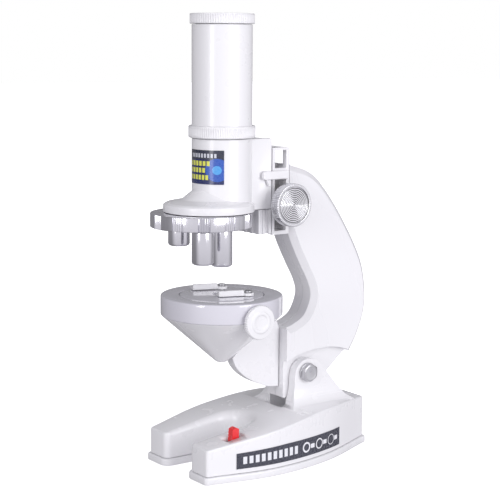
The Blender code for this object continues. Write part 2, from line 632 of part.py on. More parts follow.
def make_head():
    low, high = HEAD_Z
    head = rod("head_housing", TUBE_R, low, high, "Z", (0, 0), FINE)
    skirt_profile = [(0, 137.2), (6.6, 137.2), (13.2, 132.1), (20.6, 130.7), (21.6, 130.1), (SKIRT_R, 129.4),
                     (SKIRT_R, low + 0.3), (SKIRT_R - 0.3, low), (0, low)]
    skirt = turned("skirt", skirt_profile, "Z", (0, SKIRT_Y, 0), FINE)
    rear = block("rear_block", (-BLOCK_HALF, 2.0, low), (BLOCK_HALF, BLOCK_REAR_Y, high - 0.1))
    join(head, settle(skirt), rear)
    cut(head, rod("light_way", LIGHT_R, low - 1, 140.0, "Z", (0, 0), MEDIUM))
    cut(head, rod("head_bore", BORE_R, 138.0, high + 1, "Z", (0, 0), FINE))
    cut(head, rod("pivot_hole", 1.5, low - 1, 134.5, "Z", (0, TURRET_Y), 16))
    cut(head, block("slide_groove", (-6.0, 20.0, low - 1), (6.0, BLOCK_REAR_Y + 1, high + 1)))
    for z in SLIDE_SCREWS_Z:
        cut(head, rod("slide_screw_hole", 1.4, 14.2, 22.0, "Y", (0, z), 14))
    finish(head, "head_housing", "white_plastic")

    # the slide runs up a groove in the back of the head and shows below it
    foot = block("focus_slide", (-BLOCK_HALF, 15.5, SLIDE_Z), (BLOCK_HALF, BLOCK_REAR_Y, low - GAP), 0.5)
    join(foot, block("slide_tongue", (-5.7, 20.3, SLIDE_Z + 0.6), (5.7, 22.3, 159.5)))
    for sign in (1, -1):
        inner, outer = sorted((sign * (BLOCK_HALF - 1.3), sign * (BLOCK_HALF + 1)))
        cut(foot, block("slide_flute", (inner, 18.6, SLIDE_Z - 1), (outer, 21.2, low)))
    cut(foot, block("rack_seat", (-3.4, 22.3, SLIDE_Z - 1), (3.4, 26.0, low + 1)))
    for z in SLIDE_SCREWS_Z:
        cut(foot, rod("slide_hole", 1.4, 19.0, 24.0, "Y", (0, z), 14))
    finish(foot, "focus_slide", "white_plastic", False)
    for end, z in zip(("bottom", "top"), SLIDE_SCREWS_Z):
        finish(screw("slide_screw", "Y", (0, z), 24.0, 14.6), "slide_screw_" + end, "screw_steel")

    pitch_y = SHAFT_Y - PITCH_R
    outline = [(22.6, RACK_Z[1]), (22.6, RACK_Z[0]), (pitch_y - DEDENDUM + 0.2, RACK_Z[0])]
    count = int((RACK_Z[1] - SHAFT_Z - 1.0) / TOOTH_PITCH)
    for i in range(-count, count + 1):
        z = SHAFT_Z + i * TOOTH_PITCH
        root, tip = pitch_y - DEDENDUM + 0.2, pitch_y + ADDENDUM
        outline += [(root, z - 0.82), (tip, z - 0.32), (tip, z + 0.32), (root, z + 0.82)]
    outline.append((pitch_y - DEDENDUM + 0.2, RACK_Z[1]))
    finish(prism("focus_rack", outline, -3.0, 3.0, "X"), "focus_rack", "nylon", False)

    low, high = RING_Z
    ring = [(RING_R - 1.0, high), (RING_R, high - 1.0), (RING_R, low + 1.0), (RING_R - 1.0, low),
            (13.4, low), (13.4, low + 1.5), (TUBE_R + GAP, low + 1.5), (TUBE_R + GAP, high)]
    finish(turned("tube_ring", ring, closed=True), "tube_ring", "white_plastic")

    low, high = EYE_TUBE_Z
    tube = [(EYE_TUBE_IN, high), (TUBE_R, high), (TUBE_R, low), (12.4, low), (12.4, 150.0), (11.2, 150.0),
            (11.2, low + 0.2), (EYE_TUBE_IN, low + 0.2)]
    finish(turned("eyepiece_tube", tube, closed=True), "eyepiece_tube", "white_plastic")
    lens = [(0, 165.6), (6.0, 165.3), (11.0, 164.4), (12.5, 163.9), (12.5, 163.5), (0, 163.5)]
    finish(turned("field_lens", lens, steps=MEDIUM), "field_lens", "glass")

    low, high = EYE_Z
    cup = [(6.2, high - 1.6), (9.5, high - 0.5), (11.0, high), (EYE_R - 0.6, high), (EYE_R, high - 0.6),
           (EYE_R, low + 0.3), (EYE_R - 0.3, low), (12.6, low), (12.6, 207.0), (11.2, 207.0),
           (11.2, high - 4.0), (6.2, high - 4.0)]
    eyepiece = turned("eyepiece", cup, closed=True)
    finish(about(eyepiece, (0, 0, low)), "eyepiece", "white_plastic")
    glass = [(0, 213.6), (5.0, 213.2), (9.6, 211.6), (10.9, 210.8), (10.9, 210.2), (0, 210.2)]
    finish(about(turned("eyepiece_lens", glass, steps=MEDIUM), (0, 0, low)), "eyepiece_lens", "glass")


def make_head_label():
    """A printed sticker bent round the front of the lower tube."""
    inner, outer = TUBE_R + 0.12, TUBE_R + 0.4
    outline = arc((0, 0), outer, -112, -30.5, 12) + list(reversed(arc((0, 0), inner, -112, -30.5, 12)))
    finish(prism("head_label", outline, 140.1, 156.2), "head_label", "label")


def make_turret():
    low, high = TURRET_Z
    r = TURRET_R
    profile = [(0, high), (r - 0.8, high), (r, high - 0.8), (r, low + 0.6), (r - 0.6, low), (0, low)]
    turret = turned("turret", profile, "Z", (0, TURRET_Y, 0), FINE)
    cut(turret, rod("turret_bore", 2.5, low - 1, high + 1, "Z", (0, TURRET_Y), COARSE))
    for name, (angle, tip) in OBJECTIVES.items():
        x, y = objective_at(angle)
        cut(turret, rod("objective_seat", 4.5, low - 1, 124.4, "Z", (x, y), MEDIUM))
        cut(turret, rod("light_hole", 3.2, low - 1, high + 1, "Z", (x, y), COARSE))
    finish(about(turret, (0, TURRET_Y, high)), "turret", "silver_plating")
    for name, (angle, tip) in OBJECTIVES.items():
        x, y = objective_at(angle)
        barrel = [(4.2, 124.1), (4.2, low - GAP), (OBJECTIVE_R, low - GAP), (OBJECTIVE_R, tip + 1.1),
                  (OBJECTIVE_R - 0.3, tip + 0.35), (OBJECTIVE_R - 1.1, tip), (2.2, tip), (2.2, tip + 0.8),
                  (3.3, tip + 1.0), (3.3, 124.1)]
        item = turned("objective_" + name, barrel, "Z", (x, y, 0), MEDIUM, closed=True)
        finish(about(item, (0, TURRET_Y, high)), "objective_" + name, "silver_plating")
        glass = [(0, tip + 2.9), (3.0, tip + 2.5), (3.0, tip + 1.3), (0, tip + 1.3)]
        item = turned("lens_" + name, glass, "Z", (x, y, 0), COARSE)
        finish(about(item, (0, TURRET_Y, high)), "lens_" + name, "glass")
    pivot = [(0, 134.0), (1.2, 134.0), (1.2, high + 0.1), (2.2, high + 0.1), (2.2, low - 0.5),
             (4.0, low - 0.5), (4.0, low - 1.6), (3.4, low - 2.0), (0, low - 2.0)]
    finish(turned("turret_screw", pivot, "Z", (0, TURRET_Y, 0), COARSE), "turret_screw", "screw_steel")


def objective_at(angle):
    turn = math.radians(angle)
    reach = -TURRET_Y
    return reach * math.cos(turn), TURRET_Y + reach * math.sin(turn)


# ---------------------------------------------------------------- stage

def cone_height(radius, clear=0.0):
    """Height of the light funnel's outside at a radius, lowered by a clearance square to it."""
    return CONE_Z + CONE_SLOPE * (radius - CONE_R) - clear * math.hypot(1, CONE_SLOPE)


def make_stage():
    centre = (0, STAGE_Y)
    r = STAGE_R
    disc = [(0, STAGE_TOP - 1.8), (INSERT_R + GAP, STAGE_TOP - 1.8), (INSERT_R + GAP, STAGE_TOP),
            (r - 0.7, STAGE_TOP), (r, STAGE_TOP - 0.7), (r, RIM_Z), (r - 1.9, RIM_Z),
            (r - 1.9, STAGE_TOP - 3.4), (0, STAGE_TOP - 3.4)]
    stage = turned("stage_disc", disc, "Z", (*centre, 0), FINE)
    cut(stage, rod("stage_hole", LIGHT_HOLE_R, 80.0, 90.0, "Z", centre, 24))
    lamp_hole = rod("lamp_shaft_hole", 2.3, 24.0, 34.0, "X", (STAGE_Y, LAMP_Z), 20)
    cut(stage, lamp_hole)
    for sign in (1, -1):
        cut(stage, rod("pin_hole", 1.5, 80.0, 90.0, "Z", (sign * CLIP_PIN[0], CLIP_PIN[1]), 14))
    for at in STAGE_SCREWS:
        cut(stage, rod("stage_screw_hole", 1.2, 80.0, 84.0, "Z", at, 12))
    finish(stage, "stage_disc", "white_plastic")

    plate = [(0, STAGE_TOP), (INSERT_R - 0.4, STAGE_TOP), (INSERT_R, STAGE_TOP - 0.4),
             (INSERT_R, STAGE_TOP - 1.5), (0, STAGE_TOP - 1.5)]
    insert = turned("stage_insert", plate, "Z", (*centre, 0), FINE)
    cut(insert, rod("insert_hole", LIGHT_HOLE_R, 80.0, 90.0, "Z", centre, 24))
    for sign in (1, -1):
        cut(insert, rod("insert_pin_hole", 1.5, 80.0, 90.0, "Z", (sign * CLIP_PIN[0], CLIP_PIN[1]), 14))
    finish(insert, "stage_insert", "white_plastic")

    lip_r = r - 1.9 - GAP
    wall = 1.8
    inner_low = CONE_Z + wall * 1.3
    outside = [(lip_r - 1.8, 81.0), (lip_r, 81.0), (lip_r, RIM_Z), (lip_r, RIM_Z - GAP),
               (r - 0.2, RIM_Z - GAP), (r - 0.2, cone_height(r - 0.2)), (3.2, cone_height(3.2)),
               (2.2, CONE_Z + 0.1), (0, CONE_Z)]
    inside = [(0, inner_low), (3.0, inner_low + 0.4), (lip_r - 1.8, cone_height(lip_r - 1.8, -wall))]
    funnel = turned("light_funnel", inside + outside, "Z", (*centre, 0), FINE)
    cut(funnel, rod("funnel_shaft_hole", 2.3, 20.0, 34.0, "X", (STAGE_Y, LAMP_Z), 20))
    finish(funnel, "light_funnel", "white_plastic")

    # the bracket follows the back of the funnel and stands on the arm's front
    clear = GAP
    rear_r = 28.8
    bracket = [(FOOT_FRONT_Y - GAP, 34.9), (FOOT_FRONT_Y - GAP, 65.0),
               (rear_r + STAGE_Y + 0.8, cone_height(rear_r, clear)),
               (rear_r + STAGE_Y, cone_height(rear_r, clear)),
               (4.6 + STAGE_Y, cone_height(4.6, clear))]
    front = smooth_run([(4.6 + STAGE_Y, cone_height(4.6, clear)), (6.9, 48.2), (11.0, 43.8), (16.6, 40.0),
                        (23.4, 36.8), (27.0, 35.6)], 4)
    stand = prism("stage_bracket", list(reversed(bracket + front[1:])), -BRACKET_HALF, BRACKET_HALF, "X")
    for z in BRACKET_SCREWS_Z:
        cut(stand, rod("bracket_thread", 1.4, 22.0, 35.0, "Y", (0, z), 14))
    finish(stand, "stage_bracket", "white_plastic", False)
    for end, z in zip(("bottom", "top"), BRACKET_SCREWS_Z):
        finish(screw("bracket_screw", "Y", (0, z), 37.4, 22.6), "bracket_screw_" + end, "screw_steel")


STAGE_SCREWS = [(-18.0, -12.0), (18.0, -12.0), (0.0, 22.6)]


def clip_shape(name, sign):
    """A spring clip: a flat leaf with one edge turned up, drawn forwards from a round eye at its pin."""
    floor, top = STAGE_TOP + GAP, STAGE_TOP + CLIP_HEIGHT
    section = [(-4.6, floor), (1.4, floor), (1.4, top - 0.3), (1.1, top), (-0.1, top), (-0.3, top - 0.3),
               (-0.3, floor + 0.9), (-4.6, floor + 0.9)]
    x, y = sign * CLIP_PIN[0], CLIP_PIN[1]
    clip = prism(name, [(x + u, z) for u, z in section], y - 15.0, y - 2.6, "Y")
    eye = rod("clip_eye", 2.7, floor + 0.05, floor + 1.3, "Z", (x, y), 20)
    neck = block("clip_neck", (x - 2.5, y - 4.2, floor + 0.1), (x + 1.2, y - 0.4, floor + 1.2))
    join(clip, eye, neck)
    cut(clip, rod("clip_bore", 1.5, 80.0, 92.0, "Z", (x, y), 14))
    about(clip, (x, y, STAGE_TOP))
    clip.matrix_world = clip.matrix_world @ Matrix.Rotation(math.radians(CLIP_TURN), 4, "Z")
    bpy.context.view_layer.update()
    return finish(clip, name, "white_plastic", False)


def make_clips():
    for side, sign in (("right", 1), ("left", -1)):
        clip_shape("stage_clip_" + side, sign)
        x, y = sign * CLIP_PIN[0], CLIP_PIN[1]
        head = STAGE_TOP + 1.9
        profile = [(0, head + 0.8), (1.3, head + 0.8), (1.8, head + 0.4), (1.8, head), (1.2, head),
                   (1.2, 80.6), (0, 80.6)]
        finish(turned("clip_pin", profile, "Z", (x, y, 0), COARSE), "clip_pin_" + side, "bolt_steel")


def make_lamp():
    """The knob on the side turns a carrier with a lamp on one face and a mirror on the other."""
    inner, outer = LAMP_KNOB_X
    r = LAMP_KNOB_R
    y = STAGE_Y
    point = (0, y, LAMP_Z)
    profile = [(0, outer - 0.5), (3.6, outer - 0.5), (4.1, outer), (4.9, outer), (5.4, outer - 0.5),
               (r - 0.6, outer - 0.5), (r, outer - 1.0), (r, inner + 0.4), (r - 0.4, inner), (0, inner)]
    knob = turned("lamp_knob", profile, "X", (0, y, LAMP_Z), FINE)
    join(knob, rod("lamp_shaft_end", 2.0, 8.0, inner + 0.2, "X", (y, LAMP_Z), 20))
    join(knob, block("lamp_shaft_key", (8.0, y - 4.4, LAMP_Z - 1.6), (10.2, y + 4.4, LAMP_Z + 0.4)))
    finish(about(knob, point), "lamp_knob", "white_plastic")
    tray = block("lamp_carrier", (-7.0, y - 4.6, LAMP_Z - 1.6), (7.7, y + 4.6, LAMP_Z + 0.4), 0.3)
    finish(about(tray, point), "lamp_carrier", "black_plastic", False)
    bulb = [(0, LAMP_Z + 4.6), (1.5, LAMP_Z + 4.2), (2.3, LAMP_Z + 3.3), (2.5, LAMP_Z + 2.5),
            (2.5, LAMP_Z + 1.6), (2.9, LAMP_Z + 1.6), (2.9, LAMP_Z + 0.7), (0, LAMP_Z + 0.7)]
    finish(about(turned("lamp_led", bulb, "Z", (0, y, 0), COARSE), point), "lamp_led", "glass")
    low = LAMP_Z - 1.6 - GAP
    disc = rod("lamp_mirror", 4.4, low - 0.8, low, "Z", (0, y), 24)
    finish(about(disc, point), "lamp_mirror", "mirror")


make_base()
make_power()
make_switch()
make_base_label()
make_hinge()
make_arm()
make_rail()
make_focus_drive()
make_head()
make_head_label()
make_turret()
make_stage()
make_clips()
make_lamp()
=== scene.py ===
"""Looks of the toy microscope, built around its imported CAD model.

Shapes are drawn in millimetres in a frame whose z axis is the optical axis (x = 0, y = 0) and whose
z = 0 is the table; place() moves them to the model's own frame.
"""
import math

import bmesh
import bpy
from mathutils import Matrix, Vector


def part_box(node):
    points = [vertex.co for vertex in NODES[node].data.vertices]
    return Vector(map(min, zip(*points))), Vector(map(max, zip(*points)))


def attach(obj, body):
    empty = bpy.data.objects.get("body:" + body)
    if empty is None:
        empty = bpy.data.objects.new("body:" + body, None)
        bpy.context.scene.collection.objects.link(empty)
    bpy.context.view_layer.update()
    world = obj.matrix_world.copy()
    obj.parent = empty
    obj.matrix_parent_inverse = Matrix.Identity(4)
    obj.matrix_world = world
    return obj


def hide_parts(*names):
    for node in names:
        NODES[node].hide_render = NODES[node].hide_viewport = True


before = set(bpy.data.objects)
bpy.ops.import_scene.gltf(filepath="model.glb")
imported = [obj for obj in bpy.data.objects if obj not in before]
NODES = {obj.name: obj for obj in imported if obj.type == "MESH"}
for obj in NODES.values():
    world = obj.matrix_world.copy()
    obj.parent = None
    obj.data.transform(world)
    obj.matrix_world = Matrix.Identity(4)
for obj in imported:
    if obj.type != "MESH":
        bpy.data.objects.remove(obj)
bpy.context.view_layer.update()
MM = 0.001
GAP = 0.3
TUBE_LOW, TUBE_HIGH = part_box("eyepiece_tube")
TUBE_Y = (TUBE_LOW[1] + TUBE_HIGH[1]) / 2 / MM


def span(node):
    """Lowest and highest corner of a CAD node, in the drawing's millimetres."""
    low, high = (Vector(corner) / MM - Vector((0, TUBE_Y, 0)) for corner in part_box(node))
    return low, high


def centre_of(node, axes="xy"):
    """The middle of a CAD node, along the named axes."""
    low, high = span(node)
    return tuple((getattr(low, a) + getattr(high, a)) / 2 for a in axes)


def radius_of(node):
    """Half of a CAD node's width."""
    low, high = span(node)
    return (high.x - low.x) / 2


def mirrored(sign, a, b):
    """The range from a to b, or its mirror image when sign is -1."""
    return sorted((sign * a, sign * b))


def place(x, y, z):
    return Vector((x, y + TUBE_Y, z)) * MM


# ------------------------------------------------------------------ outlines

def smooth_run(points, steps=14):
    """Points along a smooth curve through the given ones."""
    knots = [Vector(points[0]) * 2 - Vector(points[1])]
    knots += [Vector(p) for p in points] + [Vector(points[-1]) * 2 - Vector(points[-2])]
    out = []
    for a, b, c, d in zip(knots, knots[1:], knots[2:], knots[3:]):
        for i in range(steps):
            t = i / steps
            p = b * 2 + (c - a) * t + (a * 2 - b * 5 + c * 4 - d) * t * t
            p += (b * 3 - a - c * 3 + d) * t ** 3
            out.append(tuple(p / 2))
    return out + [tuple(points[-1])]


def arc(centre, radius, start, end, steps=24):
    turn = [math.radians(start + (end - start) * i / steps) for i in range(steps + 1)]
    return [(centre[0] + radius * math.cos(a), centre[1] + radius * math.sin(a)) for a in turn]


def rounded(points, steps=5, closed=True):
    """An outline of (u, v) or (u, v, radius) points with its corners rounded."""
    out = []
    count = len(points)
    for i, point in enumerate(points):
        radius = point[2] if len(point) > 2 else 0
        here = Vector(point[:2])
        if not radius or (not closed and i in (0, count - 1)):
            out.append(tuple(here))
            continue
        before = Vector(points[i - 1][:2]) - here
        after = Vector(points[(i + 1) % count][:2]) - here
        half = before.angle(after) / 2
        reach = min(radius / math.tan(half), before.length * 0.499, after.length * 0.499)
        radius = reach * math.tan(half)
        middle = here + (before.normalized() + after.normalized()).normalized() * radius / math.sin(half)
        first = here + before.normalized() * reach - middle
        last = here + after.normalized() * reach - middle
        turn = first.angle_signed(last, 0)
        for k in range(steps + 1):
            out.append(tuple(middle + Matrix.Rotation(-turn * k / steps, 2) @ first))
    return out


def frame_outline(u0, v0, u1, v1, radius):
    """A rectangle with rounded corners."""
    return rounded([(u0, v0, radius), (u1, v0, radius), (u1, v1, radius), (u0, v1, radius)])


def inset(outline, distances):
    """A counter-clockwise outline moved inwards, by one distance or by one for each point."""
    count = len(outline)
    if not isinstance(distances, list):
        distances = [distances] * count
    out = []
    for i, here in enumerate(outline):
        before = (Vector(here) - Vector(outline[i - 1])).normalized()
        after = (Vector(outline[(i + 1) % count]) - Vector(here)).normalized()
        inward = Vector((-before.y - after.y, before.x + after.x))
        inward *= 2 / max(inward.length_squared, 0.4)
        out.append(tuple(Vector(here) + inward * distances[i]))
    return out


# ------------------------------------------------------------------ solids

def new_object(name, form, sharp=32.0):
    """A mesh object from a bmesh whose points are in the drawing's millimetres."""
    bmesh.ops.recalc_face_normals(form, faces=form.faces)
    for v in form.verts:
        v.co = place(*v.co)
    mesh = bpy.data.meshes.new(name)
    form.to_mesh(mesh)
    form.free()
    mesh.shade_smooth()
    if sharp:
        mesh.set_sharp_from_angle(angle=math.radians(sharp))
    item = bpy.data.objects.new(name, mesh)
    bpy.context.scene.collection.objects.link(item)
    return item


def skin(form, rings):
    """Faces over a stack of equally long rings, closed at both ends."""
    form.faces.new(rings[0])
    form.faces.new(rings[-1])
    count = len(rings[0])
    for ring, following in zip(rings, rings[1:]):
        for i in range(count):
            j = (i + 1) % count
            form.faces.new((ring[i], ring[j], following[j], following[i]))


def turn_point(radius, height, angle, axis, centre):
    """A point of a turned shape; centre is where height is 0 on its axis."""
    u, v = radius * math.cos(angle), radius * math.sin(angle)
    x, y, z = centre
    if axis == "Z":
        return x + u, y + v, z + height
    return x + height, y + u, z + v


def turned(name, profile, axis="Z", centre=(0, 0, 0), sides=144, ribs=None, closed=False, sharp=32.0):
    """A profile of (radius, height) points spun round an axis.

    ribs(angle, radius, height) gives a new radius for a point; a closed profile is a ring with a bore.
    """
    form = bmesh.new()
    rings = []
    for radius, height in profile:
        if radius < 1e-6:
            rings.append([form.verts.new(turn_point(0, height, 0, axis, centre))])
            continue
        ring = []
        for i in range(sides):
            angle = math.tau * i / sides
            r = ribs(angle, radius, height) if ribs else radius
            ring.append(form.verts.new(turn_point(r, height, angle, axis, centre)))
        rings.append(ring)
    pairs = list(zip(rings, rings[1:]))
    if closed:
        pairs.append((rings[-1], rings[0]))
    for a, b in pairs:
        for i in range(sides):
            j = (i + 1) % sides
            corners = [a[i % len(a)], a[j % len(a)], b[j % len(b)], b[i % len(b)]]
            corners = list(dict.fromkeys(corners))
            if len(corners) > 2:
                form.faces.new(corners)
    return new_object(name, form, sharp)


def prism(name, outline, low, high, axis="Z", sharp=32.0):
    """A flat outline drawn out along an axis: (x, y) along Z, (y, z) along X, (x, z) along Y."""
    form = bmesh.new()
    turns = {"X": lambda u, v, w: (w, u, v), "Y": lambda u, v, w: (u, w, v), "Z": lambda u, v, w: (u, v, w)}
    at = turns[axis]
    rings = [[form.verts.new(at(u, v, w)) for u, v in outline] for w in (low, high)]
    skin(form, rings)
    return new_object(name, form, sharp)


def block(name, low, high):
    (x0, y0, z0), (x1, y1, z1) = low, high
    return prism(name, [(x0, y0), (x1, y0), (x1, y1), (x0, y1)], z0, z1)


def rod(name, radius, low, high, axis="Z", centre=(0, 0), sides=64):
    """A plain bar for cutting holes; centre is (x, y), (y, z) or (x, z) across the axis."""
    outline = arc(centre, radius, 0, 360, sides)[:-1]
    return prism(name, outline, low, high, axis)


def loft(name, sections, sharp=32.0):
    """A solid through equal-length (y, z) outlines, each at its own x."""
    form = bmesh.new()
    rings = [[form.verts.new((x, y, z)) for y, z in outline] for x, outline in sections]
    skin(form, rings)
    return new_object(name, form, sharp)


def settle(item, sharp=32.0):
    """Makes the evaluated mesh the object's own."""
    bpy.context.view_layer.update()
    shown = item.evaluated_get(bpy.context.evaluated_depsgraph_get())
    mesh = bpy.data.meshes.new_from_object(shown)
    item.modifiers.clear()
    item.data = mesh
    mesh.shade_smooth()
    mesh.set_sharp_from_angle(angle=math.radians(sharp))
    return item


def combine(target, others, operation):
    for other in others:
        step = target.modifiers.new(operation.lower(), "BOOLEAN")
        step.operation = operation
        step.object = other
        step.solver = "EXACT"
    settle(target)
    for other in others:
        bpy.data.objects.remove(other)
    return target


def cut(target, *others):
    return combine(target, others, "DIFFERENCE")


def join(target, *others):
    return combine(target, others, "UNION")


def common(target, *others):
    return combine(target, others, "INTERSECT")


def soften(item, width, segments=3, angle=32.0):
    """Rounds sharp edges and keeps flat faces flat."""
    edge = item.modifiers.new("soft_edges", "BEVEL")
    edge.width = width * MM
    edge.segments = segments
    edge.limit_method = "ANGLE"
    edge.angle_limit = math.radians(angle)
    edge.use_clamp_overlap = True
    edge.harden_normals = False
    settle(item, 60.0)
    level = item.modifiers.new("flat_faces", "WEIGHTED_NORMAL")
    level.keep_sharp = True
    level.weight = 80
    return item


def merge(name, *items):
    """Several shells as one object."""
    form = bmesh.new()
    for item in items:
        settle(item)
        form.from_mesh(item.data)
        bpy.data.objects.remove(item)
    for v in form.verts:
        v.co = v.co / MM - Vector((0, TUBE_Y, 0))
    return new_object(name, form)


# ------------------------------------------------------------------ materials

def material(name):
    made = bpy.data.materials.new(name)
    made.use_nodes = True
    tree = made.node_tree
    return made, tree, tree.nodes["Principled BSDF"]


def node(tree, kind, inputs=None, **settings):
    made = tree.nodes.new(kind)
    for key, value in settings.items():
        setattr(made, key, value)
    for key, value in (inputs or {}).items():
        if isinstance(value, bpy.types.NodeSocket):
            tree.links.new(value, made.inputs[key])
        else:
            made.inputs[key].default_value = value
    return made


def noise(tree, scale, detail=4.0, stretch=None):
    """Noise in the object's own coordinates; scale is in lumps per metre."""
    where = node(tree, "ShaderNodeTexCoord").outputs["Object"]
    if stretch:
        where = node(tree, "ShaderNodeMapping", {"Vector": where, "Scale": stretch}).outputs["Vector"]
    made = node(tree, "ShaderNodeTexNoise", {"Vector": where, "Scale": scale, "Detail": detail})
    return made.outputs["Fac"]


def math_node(tree, operation, a, b=None):
    inputs = {0: a} if b is None else {0: a, 1: b}
    return node(tree, "ShaderNodeMath", inputs, operation=operation).outputs[0]


def ramp(tree, fac, stops):
    """A colour that follows fac through (position, colour) stops."""
    made = node(tree, "ShaderNodeValToRGB", {"Fac": fac})
    elements = made.color_ramp.elements
    while len(elements) < len(stops):
        elements.new(0.5)
    for element, (position, colour) in zip(elements, stops):
        element.position = position
        element.color = (*colour, 1)
    return made.outputs["Color"]


def remap(tree, fac, low, high, start=0.3, end=0.7):
    """fac's range from start to end, stretched to low to high."""
    return node(tree, "ShaderNodeMapRange", {"Value": fac, "From Min": start, "From Max": end,
                                             "To Min": low, "To Max": high}).outputs["Result"]


def bump(tree, shader, height, strength, distance=0.0001):
    made = node(tree, "ShaderNodeBump", {"Height": height, "Strength": strength, "Distance": distance})
    tree.links.new(made.outputs["Normal"], shader.inputs["Normal"])


def worn_edges(tree):
    """0 on faces and 1 on outward edges."""
    where = node(tree, "ShaderNodeNewGeometry").outputs["Pointiness"]
    return remap(tree, where, 0.0, 1.0, 0.52, 0.6)


def moulded(name, base, deep, roughness=(0.2, 0.32), coat=0.25, grain=0.05):
    """Moulded plastic: slow colour and gloss changes, a fine skin, and edges rubbed a little dull.

    A coat of 1 is polished: its clear layer is stronger and sharper.
    """
    made, tree, shader = material(name)
    polished = coat == 1
    slow = noise(tree, 12.0, 0.0)
    colour = ramp(tree, slow, [(0.35, deep), (0.65, base)])
    tree.links.new(colour, shader.inputs["Base Color"])
    gloss = remap(tree, noise(tree, 90.0, 3.0), *roughness)
    rub = math_node(tree, "MULTIPLY", worn_edges(tree), 0.06)
    tree.links.new(math_node(tree, "ADD", gloss, rub), shader.inputs["Roughness"])
    shader.inputs["Coat Weight"].default_value = coat
    shader.inputs["Coat Roughness"].default_value = 0.03 if polished else 0.12
    shader.inputs["Coat IOR"].default_value = 1.7 if polished else 1.5
    shader.inputs["IOR"].default_value = 1.5
    bump(tree, shader, noise(tree, 1500.0, 6.0), grain)
    return made


def plated(name, base, deep, roughness=(0.1, 0.2), streak=(1, 1, 1), grain=0.03):
    """Bright metal skin, with faint streaks and dull patches."""
    made, tree, shader = material(name)
    colour = ramp(tree, noise(tree, 60.0, 3.0), [(0.35, deep), (0.65, base)])
    tree.links.new(colour, shader.inputs["Base Color"])
    shader.inputs["Metallic"].default_value = 1.0
    fine = noise(tree, 300.0, 2.0, streak)
    tree.links.new(remap(tree, fine, *roughness), shader.inputs["Roughness"])
    if grain:
        bump(tree, shader, fine, grain)
    return made


GROOVE_DEPTH = 0.34


def spun_face_painted_groove_shade():
    """Spun metal whose grooves are painted darker than its ridges, by how far a point is from the knobs'
    middle: painted shade that deepens towards each groove's bottom.
    """
    made, tree, shader = material("spun_metal_painted_groove_shade")
    where = node(tree, "ShaderNodeTexCoord").outputs["Object"]
    along = node(tree, "ShaderNodeSeparateXYZ", {"Vector": where}).outputs["X"]
    top = span("knob_face_right")[1].x * MM
    away = math_node(tree, "ABSOLUTE", along)
    level = remap(tree, away, 0.0, 1.0, top - GROOVE_DEPTH * MM, top - 0.06 * MM)
    # Painted shade: near black at the groove bottoms, rising to pale metal on the ridge tops.
    shades = [(0.0, (0.10, 0.10, 0.11)), (0.45, (0.34, 0.34, 0.36)), (1.0, (0.93, 0.93, 0.94))]
    tree.links.new(ramp(tree, level, shades), shader.inputs["Base Color"])
    shader.inputs["Metallic"].default_value = 1.0
    fine = noise(tree, 400.0, 3.0)
    tree.links.new(remap(tree, fine, 0.16, 0.26), shader.inputs["Roughness"])
    bump(tree, shader, fine, 0.02)
    return made


def make_materials():
    made = {}
    made["white"] = moulded("white_plastic", (0.80, 0.796, 0.815), (0.79, 0.786, 0.806), (0.25, 0.28), 0.3,
                            0.012)
    # The stage's white plastic is painted darker and lilac here: painted shade from the turret and head
    # above the stage. Its polished coat is real gloss.
    made["stage"] = moulded("stage_plastic_painted_shade", (0.66, 0.65, 0.71), (0.64, 0.63, 0.69), (0.06, 0.1), 1.0,
                            0.008)
    made["red"] = moulded("red_plastic", (0.80, 0.03, 0.035), (0.66, 0.015, 0.02), (0.22, 0.34), 0.3, 0.06)
    made["black"] = moulded("black_plastic", (0.035, 0.035, 0.04), (0.02, 0.02, 0.024), (0.35, 0.5), 0.0,
                            0.1)
    made["nylon"] = moulded("nylon", (0.74, 0.73, 0.67), (0.68, 0.66, 0.6), (0.4, 0.55), 0.0, 0.08)
    made["chrome"] = plated("silver_plating", (0.76, 0.755, 0.79), (0.71, 0.705, 0.74), (0.12, 0.15),
                            (1, 1, 0.03), 0.0)
    made["knob"] = plated("knob_metal", (0.76, 0.76, 0.78), (0.70, 0.70, 0.72), (0.22, 0.28), grain=0.0)
    made["knob_face"] = spun_face_painted_groove_shade()
    made["bolt"] = plated("bolt_steel", (0.66, 0.66, 0.68), (0.5, 0.5, 0.52), (0.24, 0.42), grain=0.12)
    made["screw"] = plated("screw_steel", (0.5, 0.5, 0.52), (0.36, 0.36, 0.38), (0.28, 0.45), grain=0.15)
    made["contact"] = plated("contact_strip", (0.72, 0.68, 0.58), (0.6, 0.56, 0.46), (0.22, 0.4),
                             (1, 30, 1), 0.1)
    made["mirror"] = plated("mirror", (0.93, 0.93, 0.95), (0.9, 0.9, 0.92), (0.01, 0.03), grain=0.0)
    glass, tree, shader = material("lens_glass")
    shader.inputs["Base Color"].default_value = (0.93, 0.97, 1.0, 1)
    shader.inputs["Transmission Weight"].default_value = 0.9
    shader.inputs["IOR"].default_value = 1.5
    tree.links.new(remap(tree, noise(tree, 300.0, 4.0), 0.01, 0.05), shader.inputs["Roughness"])
    made["glass"] = glass
    cell, tree, shader = material("cell_jacket")
    shades = [(0.3, (0.05, 0.08, 0.18)), (0.7, (0.09, 0.13, 0.26))]
    tree.links.new(ramp(tree, noise(tree, 300.0, 4.0), shades), shader.inputs["Base Color"])
    tree.links.new(remap(tree, noise(tree, 700.0, 4.0), 0.22, 0.36), shader.inputs["Roughness"])
    shader.inputs["Metallic"].default_value = 0.4
    made["cell"] = cell
    return made


MATERIALS = make_materials()


def finish(item, body, nodes, look):
    """Gives a piece its material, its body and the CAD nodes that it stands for."""
    item.data.materials.clear()
    item.data.materials.append(MATERIALS[look])
    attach(item, body)
    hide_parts(*nodes)


def whiten(item, body, *nodes):
    """Finishes a piece in the body's white plastic."""
    finish(item, body, nodes, "white")


# ------------------------------------------------------------------ base

